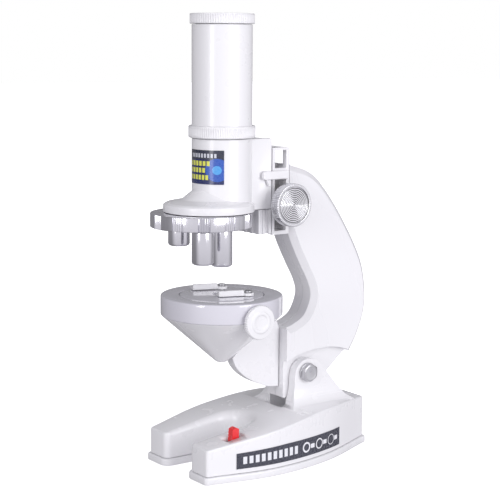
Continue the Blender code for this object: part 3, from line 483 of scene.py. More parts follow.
BASE_FRONT, BASE_REAR = -25.65, 81.8
BASE_PLAN = [(25.35, BASE_FRONT), (31.55, 10.2), (26.8, 46.0), (12.2, BASE_REAR)]
BASE_TOP = [(BASE_FRONT - 8, 15.2), (BASE_FRONT, 16.5), (10.2, 22.1), (46.0, 26.35), (BASE_REAR, 24.65),
            (BASE_REAR + 8, 24.1)]
MOUTH_HALF, MOUTH_STRAIGHT, MOUTH_DEPTH = 10.4, 5.0, 10.0
TOP_RUN = smooth_run(BASE_TOP, 12)
HINGE = centre_of("hinge_bolt", "yz")
HINGE_BORE_R = 2.8
SWITCH_X, SWITCH_Y = centre_of("switch_slider")
SLOT_Y = -7.4


def top_height(y):
    """How high the base's top is at y."""
    for (y0, z0), (y1, z1) in zip(TOP_RUN, TOP_RUN[1:]):
        if y0 <= y <= y1:
            return z0 + (z1 - z0) * (y - y0) / (y1 - y0)
    return TOP_RUN[-1][1]


def horseshoe(margin=0.0):
    """The base's outline moved out by a margin, and how far each point is into the mouth, from 0 to 1."""
    tip_r, lip_r, heel_r = 1.6 + margin, 3.2 + margin, 2.2 + margin
    side = [(x + margin, y) for x, y in smooth_run(BASE_PLAN, 12)]
    front, rear = BASE_FRONT - margin, BASE_REAR + margin
    half, depth = MOUTH_HALF - margin, MOUTH_DEPTH - margin
    corners = [(half, MOUTH_STRAIGHT), (half, front, lip_r), (side[0][0], front, tip_r)]
    right = rounded(corners + side[1:3], 6, False)[:-2]
    heel = rounded([side[-2], (side[-1][0], rear, heel_r), (0, rear)], 6, False)[1:-1]
    right += side[1:-1] + heel
    bend = [(half * math.cos(a), MOUTH_STRAIGHT + depth * math.sin(a))
            for a in [math.pi / 2 * i / 14 for i in range(15)]]
    left = [(-x, y) for x, y in reversed(right)]
    inner = [(-x, y) for x, y in bend[1:]] + list(reversed(bend))[1:-1]
    outline = right + left + inner
    into = []
    for x, y in outline:
        inside = abs(x) < half + 0.01 and y < MOUTH_STRAIGHT + depth + 0.1
        into.append(max(0.0, min(1.0, (y - front - 3) / 34)) if inside else 0.0)
    return outline, into


UNDER = -1000
SLICE = 2.5


def slab(name, outline, radii, bottom, top, bottom_r=0.0, steps=5):
    """A solid under a top that rises and falls with y; radii has the upper edge's radius at each point."""
    form = bmesh.new()
    rings = []  # heights are from the top, or from UNDER for the bottom's rings
    for k in range(3 if bottom_r else 1):
        t = math.pi / 2 * k / 2
        ring = inset(outline, bottom_r * (1 - math.sin(t)))
        rings.append([form.verts.new((x, y, UNDER + bottom_r * (1 - math.cos(t)))) for x, y in ring])
    for k in range(steps + 1):
        t = math.pi / 2 * k / steps
        ring = inset(outline, [r * (1 - math.cos(t)) for r in radii])
        rings.append([form.verts.new((x, y, -r * (1 - math.sin(t)))) for (x, y), r in zip(ring, radii)])
    skin(form, rings)
    y = BASE_FRONT - 1
    while y < BASE_REAR + 1:
        bmesh.ops.bisect_plane(form, geom=list(form.verts) + list(form.edges) + list(form.faces),
                               plane_co=(0, y, 0), plane_no=(0, 1, 0), dist=1e-5)
        y += SLICE
    for v in form.verts:
        v.co.z = bottom + (v.co.z - UNDER) if v.co.z < UNDER / 2 else top(v.co.y) + v.co.z
    return new_object(name, form)


def ear_pair():
    """The two lugs for the arm's foot, with concave flanks that run out on the base."""
    front = smooth_run([(28.6, 24.3), (32.9, 25.9), (35.6, 29.6), (36.8, 35.0), (37.0, 40.0)], 8)
    crown = smooth_run([(37.0, 40.0), (38.3, 45.2), (41.8, 48.4), (46.2, 49.0), (50.8, 47.7), (54.5, 45.0)],
                       8)
    rear = smooth_run([(54.5, 45.0), (65.7, 31.3), (69.5, 27.4), (75.5, 24.3)], 8)
    side = list(reversed([(75.5, 19.0), (28.6, 19.0)] + front + crown[1:] + rear[1:]))
    right = [(6.5, 18.0), (23.0, 18.0), (23.0, 24.0)]
    right += smooth_run([(20.6, 24.2), (16.4, 25.7), (13.2, 28.8), (11.7, 33.0), (11.4, 38.0)], 8)
    right.append((11.4, 56.0))
    pair = []
    for sign in (1, -1):
        flank = [(sign * x, z) for x, z in right + [(6.5, 56.0)]]
        ear = prism("ear", side, *mirrored(sign, 5.0, 24.0), "X")
        common(ear, prism("flank", flank, 20.0, 80.0, "Y"))
        common(ear, prism("ear_limit", horseshoe(-1.0)[0], 10.0, 60.0))
        soften(ear, 0.7, 3, 40)
        pair.append(settle(ear, 40))
    return pair


def make_base():
    low, high = span("base_cover")
    outline, into = horseshoe()
    radii = [0.9 + (1.4 + 2.2 * t * t if t > 0 else 0.0) for t in into]
    cover = slab("base_cover_shell", outline, radii, low.z, top_height)
    join(cover, *ear_pair())
    well = rounded([(31.6, 60.0), (31.6, 22.6, 1.2), (34.0, 21.2, 1.2), (62.0, 21.2, 1.2),
                    (64.0, 23.2, 1.2), (64.0, 60.0)], 4)
    cut(cover, prism("well", well, -6.62, 6.62, "X"))
    cut(cover, block("well_front", (-7.7, 31.4, 21.8), (7.7, 35.0, 40.0)))
    x, y = SWITCH_X, SLOT_Y
    cut(cover, block("switch_slot", (x - 2.6, y - 5.6, 14.0), (x + 2.6, y + 5.6, 40.0)))
    cut(cover, rod("hinge_hole", HINGE_BORE_R, -20.0, 20.0, "X", HINGE))
    whiten(cover, "base", "base_cover")

    low, high = span("base_plate")
    outline, into = horseshoe(1.3)
    plate = slab("base_plate_rim", outline, [0.8] * len(outline), low.z, lambda y: high.z, 0.5)
    (x0, y0, _), (x1, y1, _) = span("battery_door")
    cut(plate, prism("door_way", frame_outline(x0 - GAP, y0 - GAP, x1 + GAP, y1 + GAP, 0.8), -1.0, 5.0))
    for i in range(1, 5):
        centre = centre_of("base_screw_%d" % i)
        cut(plate, rod("screw_way", 1.4, -1.0, 5.0, "Z", centre, 32),
            rod("screw_sink", 2.6, -1.0, 2.2, "Z", centre, 48))
    whiten(plate, "base", "base_plate")

    lid = prism("battery_door_lid", frame_outline(x0, y0, x1, y1, 0.7), 0.0, 1.8)
    for k in range(7):
        grip = y1 - 12.0 + k * 1.5
        cut(lid, block("groove", (-7.0, grip, -1.0), (7.0, grip + 0.7, 0.4)))
    soften(lid, 0.15, 2, 50)
    whiten(lid, "base", "battery_door")


def make_switch():
    low, high = span("switch_slider")
    x, y = SWITCH_X, SWITCH_Y
    side = rounded([(y - 2.0, 17.4), (y + 2.0, 17.4), (y + 2.0, 23.7, 0.5), (y + 0.5, high.z, 0.7),
                    (y - 1.6, high.z - 0.8, 0.5), (y - 1.9, 21.0, 1.0)])
    key = prism("switch_key_cap", side, x - 1.8, x + 1.8, "X")
    for k in range(3):
        z = 22.2 - k * 1.3
        cut(key, block("rib_gap", (x - 3, y - 3.0, z), (x + 3, y - 1.65, z + 0.45)))
    soften(key, 0.25, 2, 45)
    stem = block("switch_stem", (x - 1.1, y - 1.6, low.z), (x + 1.1, y + 1.6, 17.6))
    finish(merge("switch_key_piece", key, stem), "switch_key", ["switch_slider"], "red")


# ------------------------------------------------------------------ hinge

EAR_FACE_X = 11.7


def make_hinge():
    low, high = span("hinge_bolt")
    corner = (high.z - low.z) / 2
    flats = corner * math.sqrt(3) / 2
    middle = (0, *HINGE)
    hexagon = arc(HINGE, corner, 30, 390, 6)[:-1]
    head = prism("bolt_head", hexagon, EAR_FACE_X + 0.9, high.x, "X")
    cone = [(0, high.x + 0.01), (flats - 0.5, high.x + 0.01), (flats + 1.2, high.x - 1.0),
            (flats + 1.2, EAR_FACE_X), (0, EAR_FACE_X)]
    common(head, turned("head_cone", cone, "X", middle))
    soften(head, 0.12, 2, 25)
    dent = [(0, -0.35), (2.6, -0.35, 0.3), (3.1, 0.05, 0.3), (3.5, 0.05, 0.3), (3.8, -0.5)]
    cup = turned("head_cup", rounded(dent, 4, False) + [(0, -0.5)], "X", (high.x + 0.02, *HINGE))
    rim, outer, inner = corner - 0.15, EAR_FACE_X + 0.95, EAR_FACE_X + 0.05
    disc = rounded([(0, outer), (rim, outer, 0.2), (rim, inner, 0.2), (0, inner)], 3, False)
    washer = turned("washer", disc, "X", middle)
    shaft = [(0, EAR_FACE_X + 0.2), (2.5, EAR_FACE_X + 0.2), (2.5, low.x + 0.4), (2.1, low.x), (0, low.x)]
    shank = turned("shank", shaft, "X", middle, 64)
    bolt = merge("hinge_bolt_piece", head, cup, washer, shank)
    finish(bolt, "base", ["hinge_bolt"], "bolt")

    low, high = span("hinge_nut")
    nut = prism("nut", hexagon, low.x, high.x, "X")
    cone = [(0, high.x), (corner + 1, high.x), (corner + 1, low.x + 0.7), (flats - 0.1, low.x), (0, low.x)]
    common(nut, turned("nut_cone", cone, "X", middle))
    cut(nut, rod("nut_bore", 2.6, low.x - 1, high.x + 1, "X", HINGE))
    soften(nut, 0.12, 2, 25)
    finish(nut, "base", ["hinge_nut"], "bolt")


# ------------------------------------------------------------------ arm

ARM_FRONT_Y, FOOT_FRONT_Y = 34.1, 33.5
ARM_HALF, FOOT_HALF = span("arm_right_shell")[1].x, 6.2
ARM_CHAMFER = 2.8
SEAM_HALF = 0.12


def arm_outline():
    """The arm from the side, counter-clockwise, and how wide its chamfer is at each point."""
    foot = [(FOOT_FRONT_Y, 65.0), (FOOT_FRONT_Y, 36.2)] + arc((38.3, 36.0), 4.8, 180, 270, 12)[1:]
    foot += [(47.6, 31.2), (49.5, 31.4), (51.5, 32.0), (54.0, 33.6)]
    heel = [(72.9, 49.3)]
    back = smooth_run([(76.1, 48.6), (81.2, 57.2), (85.3, 68.0), (86.1, 79.0), (82.8, 95.6), (72.1, 115.3),
                       (59.2, 133.2), (48.5, 142.8), (ARM_FRONT_Y, 147.7)], 12)
    hollow = smooth_run([(ARM_FRONT_Y, 116.8), (38.3, 106.7), (43.5, 96.6), (48.9, 86.6), (50.2, 79.5),
                         (46.4, 71.0), (40.0, 67.0), (FOOT_FRONT_Y, 65.0)], 12)
    outline = foot + heel + back + hollow[:-3]
    first = len(foot) + len(heel)
    widths = [0.0] * len(outline)
    for i in range(first, len(outline)):
        flat = abs(outline[i][0] - ARM_FRONT_Y) < 0.01
        widths[i] = 0.0 if flat else ARM_CHAMFER
    return outline, widths


def make_arm():
    outline, widths = arm_outline()
    step = smooth_run([(28.0, 46.2), (33.4, 48.6), (40.5, 51.2), (48.0, 52.6), (57.0, 53.1), (64.5, 52.6),
                       (73.5, 50.0), (79.0, 47.2)], 8)
    below = list(reversed(step)) + [(28.0, 25.0), (79.0, 25.0)]
    toe = rounded([(33.52, 38.0), (33.5, 29.3, 0.9), (34.9, 29.3, 0.6), (38.2, 32.4), (38.5, 38.0)], 4)
    for name, sign in (("arm_right_shell", 1), ("arm_left_shell", -1)):
        sections = [(SEAM_HALF, inset(outline, 0.05)), (SEAM_HALF + 0.05, outline),
                    (ARM_HALF - ARM_CHAMFER, outline), (ARM_HALF, inset(outline, widths))]
        shell = loft(name + "_piece", [(sign * x, points) for x, points in sections], 20.0)
        cut(shell, prism("seam_cut", below, *mirrored(sign, FOOT_HALF, ARM_HALF + 1), "X"))
        join(shell, prism("toe", toe, *mirrored(sign, SEAM_HALF, FOOT_HALF), "X"))
        soften(shell, 0.3, 3, 22)
        settle(shell, 40)
        cut(shell, rod("hinge_bore", HINGE_BORE_R, -12.0, 12.0, "X", HINGE))
        if sign < 0:
            for end in ("top", "bottom"):
                centre = centre_of("arm_screw_" + end, "yz")
                cut(shell, rod("screw_sink", 2.7, -12.0, -6.5, "X", centre, 48))
        flat = shell.modifiers.new("flat_faces", "WEIGHTED_NORMAL")
        flat.keep_sharp = True
        whiten(shell, "arm", name)


RAIL_WINDOWS = [(115.3, 123.6), (134.0, 140.6), (146.0, 154.9)]
CLAW_Z = (141.0, 145.0)
CLAW_Y = (16.4, 31.8)


def make_rail():
    low, high = span("rail_housing")
    front, rear = 23.6, 33.8
    rail = block("rail_channel", (-ARM_HALF, front, low.z), (ARM_HALF, rear, high.z))
    cut(rail, block("inside", (-6.2, 20.0, low.z + 1.8), (6.2, 36.0, high.z - 1.2)),
        block("rack_way", (-6.2, 20.0, low.z - 1), (6.2, 26.5, high.z + 1)))
    for sign in (1, -1):
        for bottom, top in RAIL_WINDOWS:
            opening = frame_outline(25.0, bottom, 32.0, top, 0.5)
            cut(rail, prism("window", opening, *mirrored(sign, 5.2, 10.0), "X"))
    soften(rail, 0.3, 3, 45)
    settle(rail, 40)
    parts = [rail]
    for sign in (1, -1):
        (z0, z1), (y0, y1) = CLAW_Z, CLAW_Y
        hook = rounded([(y0, z0, 1.2), (y1, z0, 0.4), (y1, z1, 0.4), (y0, z1, 1.2)])
        bar = prism("claw", hook, *mirrored(sign, ARM_HALF + GAP, high.x), "X")
        soften(bar, 0.45, 3, 45)
        parts.append(bar)
        x0, x1 = mirrored(sign, 8.6, 10.2)
        parts.append(block("claw_root", (x0, 24.4, z0 + 0.4), (x1, y1 - 0.4, z1 - 0.4)))
        wedge = rounded([(18.8, z0 + 0.4), (20.1, 137.8, 0.5), (21.6, 137.8, 0.4), (21.6, z0 + 0.4)])
        rib = prism("claw_rib", wedge, *mirrored(sign, ARM_HALF + GAP, 11.0), "X")
        soften(rib, 0.25, 2, 45)
        parts.append(rib)
    whiten(merge("rail_housing_piece", *parts), "arm", "rail_housing")


# ------------------------------------------------------------------ stage

STAGE_Y = 0.1
STAGE_TOP = span("stage_disc")[1].z
STAGE_HOLE_R = 4.5
CONE_R, CONE_Z, CONE_SLOPE = 2.4, 51.45, 0.887


def cone_height(radius, clear=0.0):
    """The light cone's height at a radius, or that of a surface which stays clear of it."""
    return CONE_Z + CONE_SLOPE * (radius - CONE_R) - clear * math.hypot(1, CONE_SLOPE)


def make_stage():
    r, insert_r, top = radius_of("stage_disc"), radius_of("stage_insert"), STAGE_TOP
    rim = cone_height(r - 0.2) + 0.1
    middle = (0, STAGE_Y, 0)
    seat_r = insert_r + GAP
    ring = [(0, top - 1.8), (seat_r, top - 1.8), (seat_r, top, 0.2), (r, top, 0.8), (r, rim, 0.35),
            (r - 1.9, rim), (r - 1.9, top - 3.4), (0, top - 3.4)]
    plate = [(0, top), (insert_r, top, 0.35), (insert_r, top - 1.5), (0, top - 1.5)]
    for name, profile, sides in (("stage_disc", ring, 192), ("stage_insert", plate, 160)):
        piece = turned(name + "_piece", rounded(profile, 5, False), centre=middle, sides=sides)
        cut(piece, rod("hole", STAGE_HOLE_R, 80.0, 90.0, "Z", middle[:2]))
        finish(piece, "arm", [name], "stage")

    lip = r - 2.2
    tip = cone_height(3.4)
    outside = rounded([(lip - 1.8, 81.0), (lip, 81.0), (lip, rim - 0.1), (r - 0.2, rim - 0.1, 0.1),
                       (3.4, tip, 1.5), (CONE_R - 0.2, CONE_Z + 0.15, 1.0), (0, CONE_Z)], 6, False)
    inside = [(0, CONE_Z + 2.4), (3.0, CONE_Z + 2.8), (lip - 1.8, cone_height(lip - 1.8) + 2.4)]
    funnel = turned("light_funnel_piece", inside + outside, centre=middle, sides=192)
    whiten(funnel, "arm", "light_funnel")

    front = smooth_run([(4.7, cone_height(4.6, GAP)), (6.9, 48.2), (11.0, 43.8), (16.6, 40.0),
                        (23.4, 36.8), (27.0, 35.6)], 10)
    back_y, shoulder = FOOT_FRONT_Y - GAP, cone_height(28.8, GAP)
    outline = [(back_y, 34.9), (back_y, 65.0), (29.7, shoulder), (28.9, shoulder)]
    stand = prism("stage_bracket_piece", list(reversed(outline + front)), -3.0, 3.0, "X")
    soften(stand, 0.35, 3, 40)
    whiten(stand, "arm", "stage_bracket")


CLIP_PIN, CLIP_TURN = (11.3, 8.0), -19.0


def make_clips():
    for side, sign in (("right", 1), ("left", -1)):
        x, y = sign * CLIP_PIN[0], CLIP_PIN[1]
        floor, top = STAGE_TOP + GAP, span("stage_clip_right")[1].z
        section = rounded([(-4.6, floor, 0.2), (1.4, floor, 0.3), (1.4, top, 0.4), (-0.3, top, 0.4),
                           (-0.3, floor + 0.9, 0.6), (-4.6, floor + 0.9, 0.2)], 4)
        leaf = prism("leaf", [(x + u, z) for u, z in section], y - 15.0, y - 2.6, "Y")
        soften(leaf, 0.2, 2, 50)
        loop = rounded([(1.45, floor), (2.7, floor), (2.7, floor + 1.3, 0.3), (1.45, floor + 1.3, 0.2)])
        eye = turned("eye", loop, centre=(x, y, 0), sides=64, closed=True)
        neck = block("neck", (x - 2.5, y - 4.2, floor + 0.1), (x + 1.2, y - 2.2, floor + 1.2))
        soften(neck, 0.2, 2, 50)
        clip = merge("stage_clip_%s_piece" % side, leaf, eye, neck)
        axis = Matrix.Translation(place(x, y, 0))
        swing = Matrix.Rotation(math.radians(CLIP_TURN), 4, "Z")
        clip.data.transform(axis @ swing @ axis.inverted())
        whiten(clip, "clip_" + side, "stage_clip_" + side)
        head = STAGE_TOP + 1.9
        profile = rounded([(0, head + 0.8), (1.8, head + 0.8, 0.6), (1.8, head, 0.2), (1.2, head),
                           (1.2, 80.6), (0, 80.6)], 4, False)
        pin = turned("clip_pin_%s_piece" % side, profile, centre=(x, y, 0), sides=48)
        finish(pin, "arm", ["clip_pin_" + side], "screw")


RIB_SIDES = 8


def knurled(teeth, outer, depth, reach):
    """Pointed teeth round a turned shape, on all that is within reach of its outer radius."""
    def shape(angle, radius, height):
        if radius < outer - reach:
            return radius
        return radius - depth * (0.5 + 0.5 * math.cos(angle * teeth)) ** 1.5
    return shape


def make_lamp():
    low, high = span("lamp_knob")
    inner, outer, r = 30.2, high.x, (high.z - low.z) / 2
    teeth = 44
    face = [(0, outer - 0.45), (3.3, outer - 0.45, 0.3), (3.9, outer, 0.3), (4.9, outer, 0.3),
            (5.5, outer - 0.45, 0.3), (r - 0.5, outer - 0.5, 0.3), (r, outer - 1.0, 0.3),
            (r, inner + 0.5, 0.3), (r - 0.4, inner, 0.2), (2.0, inner), (2.0, 10.0), (0, 10.0)]
    middle = (0, *centre_of("lamp_knob", "yz"))
    knob = turned("lamp_knob_piece", rounded(face, 4, False), "X", middle, teeth * RIB_SIDES,
                  knurled(teeth, r, 0.34, 0.35))
    whiten(knob, "lamp_turner", "lamp_knob")


# ------------------------------------------------------------------ focus drive

def make_knobs():
    low, high = span("focus_knob_right")
    face_low, face_high = span("knob_face_right")
    middle = (0, *centre_of("focus_knob_right", "yz"))
    inner, outer, r = 14.8, high.x, (high.z - low.z) / 2
    top, reach, grooves = face_high.x, (face_high.z - face_low.z) / 2, 10
    dish, teeth = r - 1.5, 72
    knurl = knurled(teeth, r, 0.42, 0.3)
    for side, sign in (("right", 1), ("left", -1)):
        profile = rounded([(0, outer - 1.0), (dish, outer - 1.0), (dish, outer, 0.15), (r, outer, 0.3),
                           (r, inner, 0.35), (4.6, inner), (4.6, 9.7, 0.2), (2.2, 9.7)], 4, False)
        profile += [(2.2, 17.7), (0, 17.7)]
        if sign < 0:
            profile = [(p, -x) for p, x in profile]
        knob = turned("focus_knob_%s_piece" % side, profile, "X", middle, teeth * RIB_SIDES, knurl)
        finish(knob, "focus_drive", ["focus_knob_" + side], "knob")
        rings = [(0, top)]
        for k in range(grooves):
            a, b = reach * k / grooves, reach * (k + 1) / grooves
            rings += [(a * 0.8 + b * 0.2, top), ((a + b) / 2, top - GROOVE_DEPTH), (a * 0.2 + b * 0.8, top)]
        rings += [(reach, top - 0.1), (reach, face_low.x), (0, face_low.x)]
        if sign < 0:
            rings = [(p, -x) for p, x in rings]
        disc = turned("knob_face_%s_piece" % side, rings, "X", middle, 160, sharp=20.0)
        finish(disc, "focus_drive", ["knob_face_" + side], "knob_face")


# ------------------------------------------------------------------ head

TUBE_R = radius_of("eyepiece_tube")
HEAD_BORE_R, LIGHT_WAY_R, HEAD_FLOOR_Z = 12.7, 8.5, 140.0


def make_head():
    low, high = span("head_housing")
    profile = [(HEAD_BORE_R, high.z, 0.2), (TUBE_R, high.z, 0.3), (TUBE_R, low.z + 4),
               (LIGHT_WAY_R, low.z + 4), (LIGHT_WAY_R, HEAD_FLOOR_Z), (HEAD_BORE_R, HEAD_FLOOR_Z)]
    tube = turned("lower_tube", rounded(profile, 4), closed=True, sides=192)
    skirt_y, skirt_r = -7.5, radius_of("head_housing")
    skirt_profile = [(0, 139.0), (5.6, 138.6), (13.2, 132.3, 3.0), (20.4, 130.85, 1.5),
                     (skirt_r, 130.0, 0.7), (skirt_r, low.z, 0.35), (0, low.z)]
    skirt = turned("skirt", rounded(skirt_profile, 6, False), centre=(0, skirt_y, 0), sides=192)
    cut(skirt, rod("light_way", LIGHT_WAY_R, low.z - 1, HEAD_FLOOR_Z + 1))
    half, rear = ARM_HALF, high.y
    plan = rounded([(-half, 4.0), (half, 4.0), (half, rear, 0.5), (-half, rear, 0.5)])
    box = prism("rear_block", plan, low.z, high.z - 0.4)
    soften(box, 0.3, 2, 60)
    settle(box, 40)
    cut(box, rod("bore", HEAD_BORE_R, low.z - 1, high.z + 1),
        block("groove", (-6.0, 20.0, low.z - 1), (6.0, rear + 1, high.z + 1)))
    whiten(merge("head_housing_piece", tube, skirt, box), "head", "head_housing")


def make_slide():
    low, high = span("focus_slide")
    top = span("head_housing")[0].z - GAP
    foot = block("slide_foot", (-ARM_HALF, 15.5, low.z), (ARM_HALF, high.y, top))
    for sign in (1, -1):
        for y0, y1, depth in ((16.6, 18.2, 0.9), (19.3, 21.6, 1.5)):
            x0, x1 = mirrored(sign, ARM_HALF - depth, 10.5)
            flute = rounded([(x0, y0, 0.3), (x1, y0), (x1, y1), (x0, y1, 0.3)])
            cut(foot, prism("flute", flute, low.z - 1, top + 1))
    for x0, x1 in ((-6.5, -3.5), (-1.5, 1.5), (3.5, 6.5)):
        cut(foot, block("front_flute", (x0, 14.0, low.z - 1), (x1, 16.2, top + 1)))
    cut(foot, block("rack_seat", (-3.4, 22.3, low.z - 1), (3.4, 26.0, top + 1)))
    soften(foot, 0.3, 3, 50)
    tongue = block("slide_tongue", (-5.7, 20.3, low.z + 0.6), (5.7, 22.3, 159.5))
    soften(tongue, 0.2, 2, 50)
    whiten(merge("focus_slide_piece", foot, tongue), "head", "focus_slide")


def ribbed(count, outer, depth, low_z, high_z):
    """Upright ribs round the outermost radius, between two heights."""
    def shape(angle, radius, height):
        if radius < outer - 0.02 or not low_z < height < high_z:
            return radius
        wave = math.cos(angle * count)
        return radius - depth * (0.5 - 0.5 * math.tanh(wave * 2.5))
    return shape


def make_tube():
    low, high = span("tube_ring")
    r, ribs = radius_of("tube_ring"), 90
    profile = rounded([(14.8, high.z, 0.2), (r, high.z, 1.4), (r, high.z - 1.6), (r, low.z + 1.6),
                       (r, low.z, 1.4), (13.4, low.z, 0.2), (13.4, low.z + 1.5), (14.8, low.z + 1.5)], 6)
    ring = turned("tube_ring_piece", profile, sides=ribs * RIB_SIDES,
                  ribs=ribbed(ribs, r, 0.3, low.z + 1.2, high.z - 1.2), closed=True)
    whiten(ring, "head", "tube_ring")

    low, high = span("eyepiece_tube")
    step = 163.0
    profile = [(12.9, high.z, 0.2), (TUBE_R, high.z, 0.4), (TUBE_R, step), (12.4, step), (12.4, low.z, 0.2),
               (11.2, low.z, 0.2), (11.2, step + 0.2), (12.9, step + 0.2)]
    tube = turned("eyepiece_tube_piece", rounded(profile, 4), sides=192, closed=True)
    whiten(tube, "head", "eyepiece_tube")

    low, high = span("eyepiece")
    r, base, ribs = radius_of("eyepiece"), 215.2, 80
    profile = [(6.2, high.z - 1.6, 0.3), (9.5, high.z - 0.6, 1.0), (11.2, high.z, 0.6), (r, high.z, 0.7),
               (r, high.z - 0.9), (r, base + 0.7), (r, base, 0.3), (12.6, base), (12.6, low.z, 0.2),
               (11.2, low.z, 0.2), (11.2, high.z - 4.0), (6.2, high.z - 4.0, 0.3)]
    cup = turned("eyepiece_piece", rounded(profile, 5), sides=ribs * RIB_SIDES,
                 ribs=ribbed(ribs, r, 0.26, base + 0.4, high.z - 0.8), closed=True)
    whiten(cup, "eyepiece_body", "eyepiece")


# ------------------------------------------------------------------ turret

OBJECTIVES = ["objective_high", "objective_mid", "objective_low"]
SHANK_TOP = 124.1


def make_turret():
    low, high = span("turret")
    y, r = centre_of("turret")[1], radius_of("turret")
    patches, start = 12, math.radians(-30.3)
    pitch, ribs, ribbed_share = math.tau / patches, 5, 0.22

    def band(angle, radius, height):
        if radius < r - 0.7:
            return radius
        away = (angle - start + pitch / 2) % pitch - pitch / 2
        share = away / pitch
        if abs(share) < ribbed_share:
            wave = math.cos(share / ribbed_share * math.pi * ribs + math.pi)
            return radius - 0.05 - 0.5 * (0.5 + 0.5 * wave) ** 0.7
        return radius - 0.1 * (1 - abs(0.5 - abs(share)) / (0.5 - ribbed_share))

    profile = [(2.5, high.z), (r, high.z, 0.45), (r, low.z, 0.45), (r - 1.6, low.z + 0.01),
               (r - 2.0, low.z + 0.7, 0.2), (2.5, low.z + 0.7)]
    turret = turned("turret_piece", rounded(profile, 4), centre=(0, y, 0), sides=patches * 80, ribs=band,
                    closed=True)
    for name in OBJECTIVES:
        centre = centre_of(name)
        cut(turret, rod("seat", 4.5, low.z - 1, SHANK_TOP + GAP, "Z", centre),
            rod("light_hole", 3.2, low.z - 1, high.z + 1, "Z", centre))
    finish(turret, "turret_body", ["turret"], "chrome")
    for name in OBJECTIVES:
        tip, r_o, shelf = span(name)[0].z, radius_of(name), low.z - GAP
        profile = [(4.2, SHANK_TOP), (4.2, shelf), (r_o - 0.5, shelf), (r_o - 0.5, shelf - 0.7),
                   (r_o - 0.05, shelf - 0.9, 0.15), (r_o, tip + 1.2), (r_o - 0.35, tip + 0.45, 0.4),
                   (r_o - 1.1, tip, 0.35), (2.2, tip, 0.2), (2.2, tip + 0.8), (3.3, tip + 1.0),
                   (3.3, SHANK_TOP)]
        barrel = turned(name + "_piece", rounded(profile, 4), centre=(*centre_of(name), 0), sides=96,
                        closed=True)
        finish(barrel, "turret_body", [name], "chrome")


# ------------------------------------------------------------------ labels

def label_shader(name, paint):
    """A printed film. paint(tree, u, v) gives its colour from 0..1 coordinates along and up the label."""
    made, tree, shader = material(name)
    uv = node(tree, "ShaderNodeUVMap", uv_map="label")
    split = node(tree, "ShaderNodeSeparateXYZ", {"Vector": uv.outputs["UV"]})
    tree.links.new(paint(tree, split.outputs["X"], split.outputs["Y"]), shader.inputs["Base Color"])
    tree.links.new(remap(tree, noise(tree, 900.0, 4.0), 0.22, 0.34), shader.inputs["Roughness"])
    shader.inputs["Coat Weight"].default_value = 0.4
    bump(tree, shader, noise(tree, 2500.0, 4.0), 0.04)
    return made


def far_from(tree, u, v, centre, stretch):
    """How far (u, v) is from a centre, with u stretched."""
    du = math_node(tree, "MULTIPLY", math_node(tree, "SUBTRACT", u, centre[0]), stretch)
    dv = math_node(tree, "SUBTRACT", v, centre[1])
    squares = [math_node(tree, "MULTIPLY", d, d) for d in (du, dv)]
    return math_node(tree, "SQRT", math_node(tree, "ADD", *squares))


def inside(tree, value, low, high):
    """1 where value is between low and high."""
    return math_node(tree, "MULTIPLY", math_node(tree, "GREATER_THAN", value, low),
                     math_node(tree, "LESS_THAN", value, high))


def over(tree, below, colour, mask):
    """Paints a colour over another where mask is 1."""
    mixed = node(tree, "ShaderNodeMix", {"Factor": mask}, data_type="RGBA")
    for index, value in ((6, below), (7, colour)):
        if isinstance(value, tuple):
            mixed.inputs[index].default_value = (*value, 1)
        else:
            tree.links.new(value, mixed.inputs[index])
    return mixed.outputs[2]


def strip_of_marks(tree, u, v, low, high, start, end, count, duty=0.62):
    """A row of evenly spaced plain bars."""
    row = math_node(tree, "MULTIPLY", inside(tree, v, low, high), inside(tree, u, start, end))
    along = math_node(tree, "MULTIPLY", math_node(tree, "SUBTRACT", u, start), count / (end - start))
    phase = math_node(tree, "FRACT", along)
    return math_node(tree, "MULTIPLY", row, math_node(tree, "LESS_THAN", phase, duty))


def paint_strip(tree, u, v):
    """A dark strip with a thin pale line, plain bars and three rings."""
    colour = over(tree, (0.035, 0.037, 0.055), (0.05, 0.052, 0.075), remap(tree, noise(tree, 400.0), 0, 1))
    colour = over(tree, colour, (0.75, 0.76, 0.8), strip_of_marks(tree, u, v, 0.28, 0.74, 0.05, 0.53, 10))
    for k, centre in enumerate((0.60, 0.74, 0.88)):
        far = far_from(tree, u, v, (centre, 0.5), 7.7)
        colour = over(tree, colour, (0.8, 0.8, 0.84), inside(tree, far, 0.2 + 0.03 * k, 0.3))
        bar = math_node(tree, "MULTIPLY", inside(tree, u, centre + 0.045, centre + 0.085),
                        inside(tree, v, 0.38, 0.62))
        colour = over(tree, colour, (0.8, 0.8, 0.84), bar)
    return colour


def paint_sticker(tree, u, v):
    """A dark sticker: a pale bar row, three rows of yellow blocks and a blue dot."""
    colour = over(tree, (0.03, 0.035, 0.06), (0.02, 0.03, 0.12), math_node(tree, "LESS_THAN", v, 0.72))
    far = far_from(tree, u, v, (0.84, 0.42), 1.2)
    colour = over(tree, colour, (0.03, 0.10, 0.45), math_node(tree, "LESS_THAN", far, 0.34))
    colour = over(tree, colour, (0.08, 0.35, 0.75), math_node(tree, "LESS_THAN", far, 0.13))
    colour = over(tree, colour, (0.6, 0.62, 0.68), strip_of_marks(tree, u, v, 0.78, 0.90, 0.1, 0.86, 9))
    for low, high, end, count in ((0.54, 0.68, 0.70, 6), (0.34, 0.48, 0.58, 5), (0.13, 0.27, 0.66, 6)):
        row = strip_of_marks(tree, u, v, low, high, 0.06, end, count, 0.7)
        colour = over(tree, colour, (0.72, 0.74, 0.10), row)
    return colour


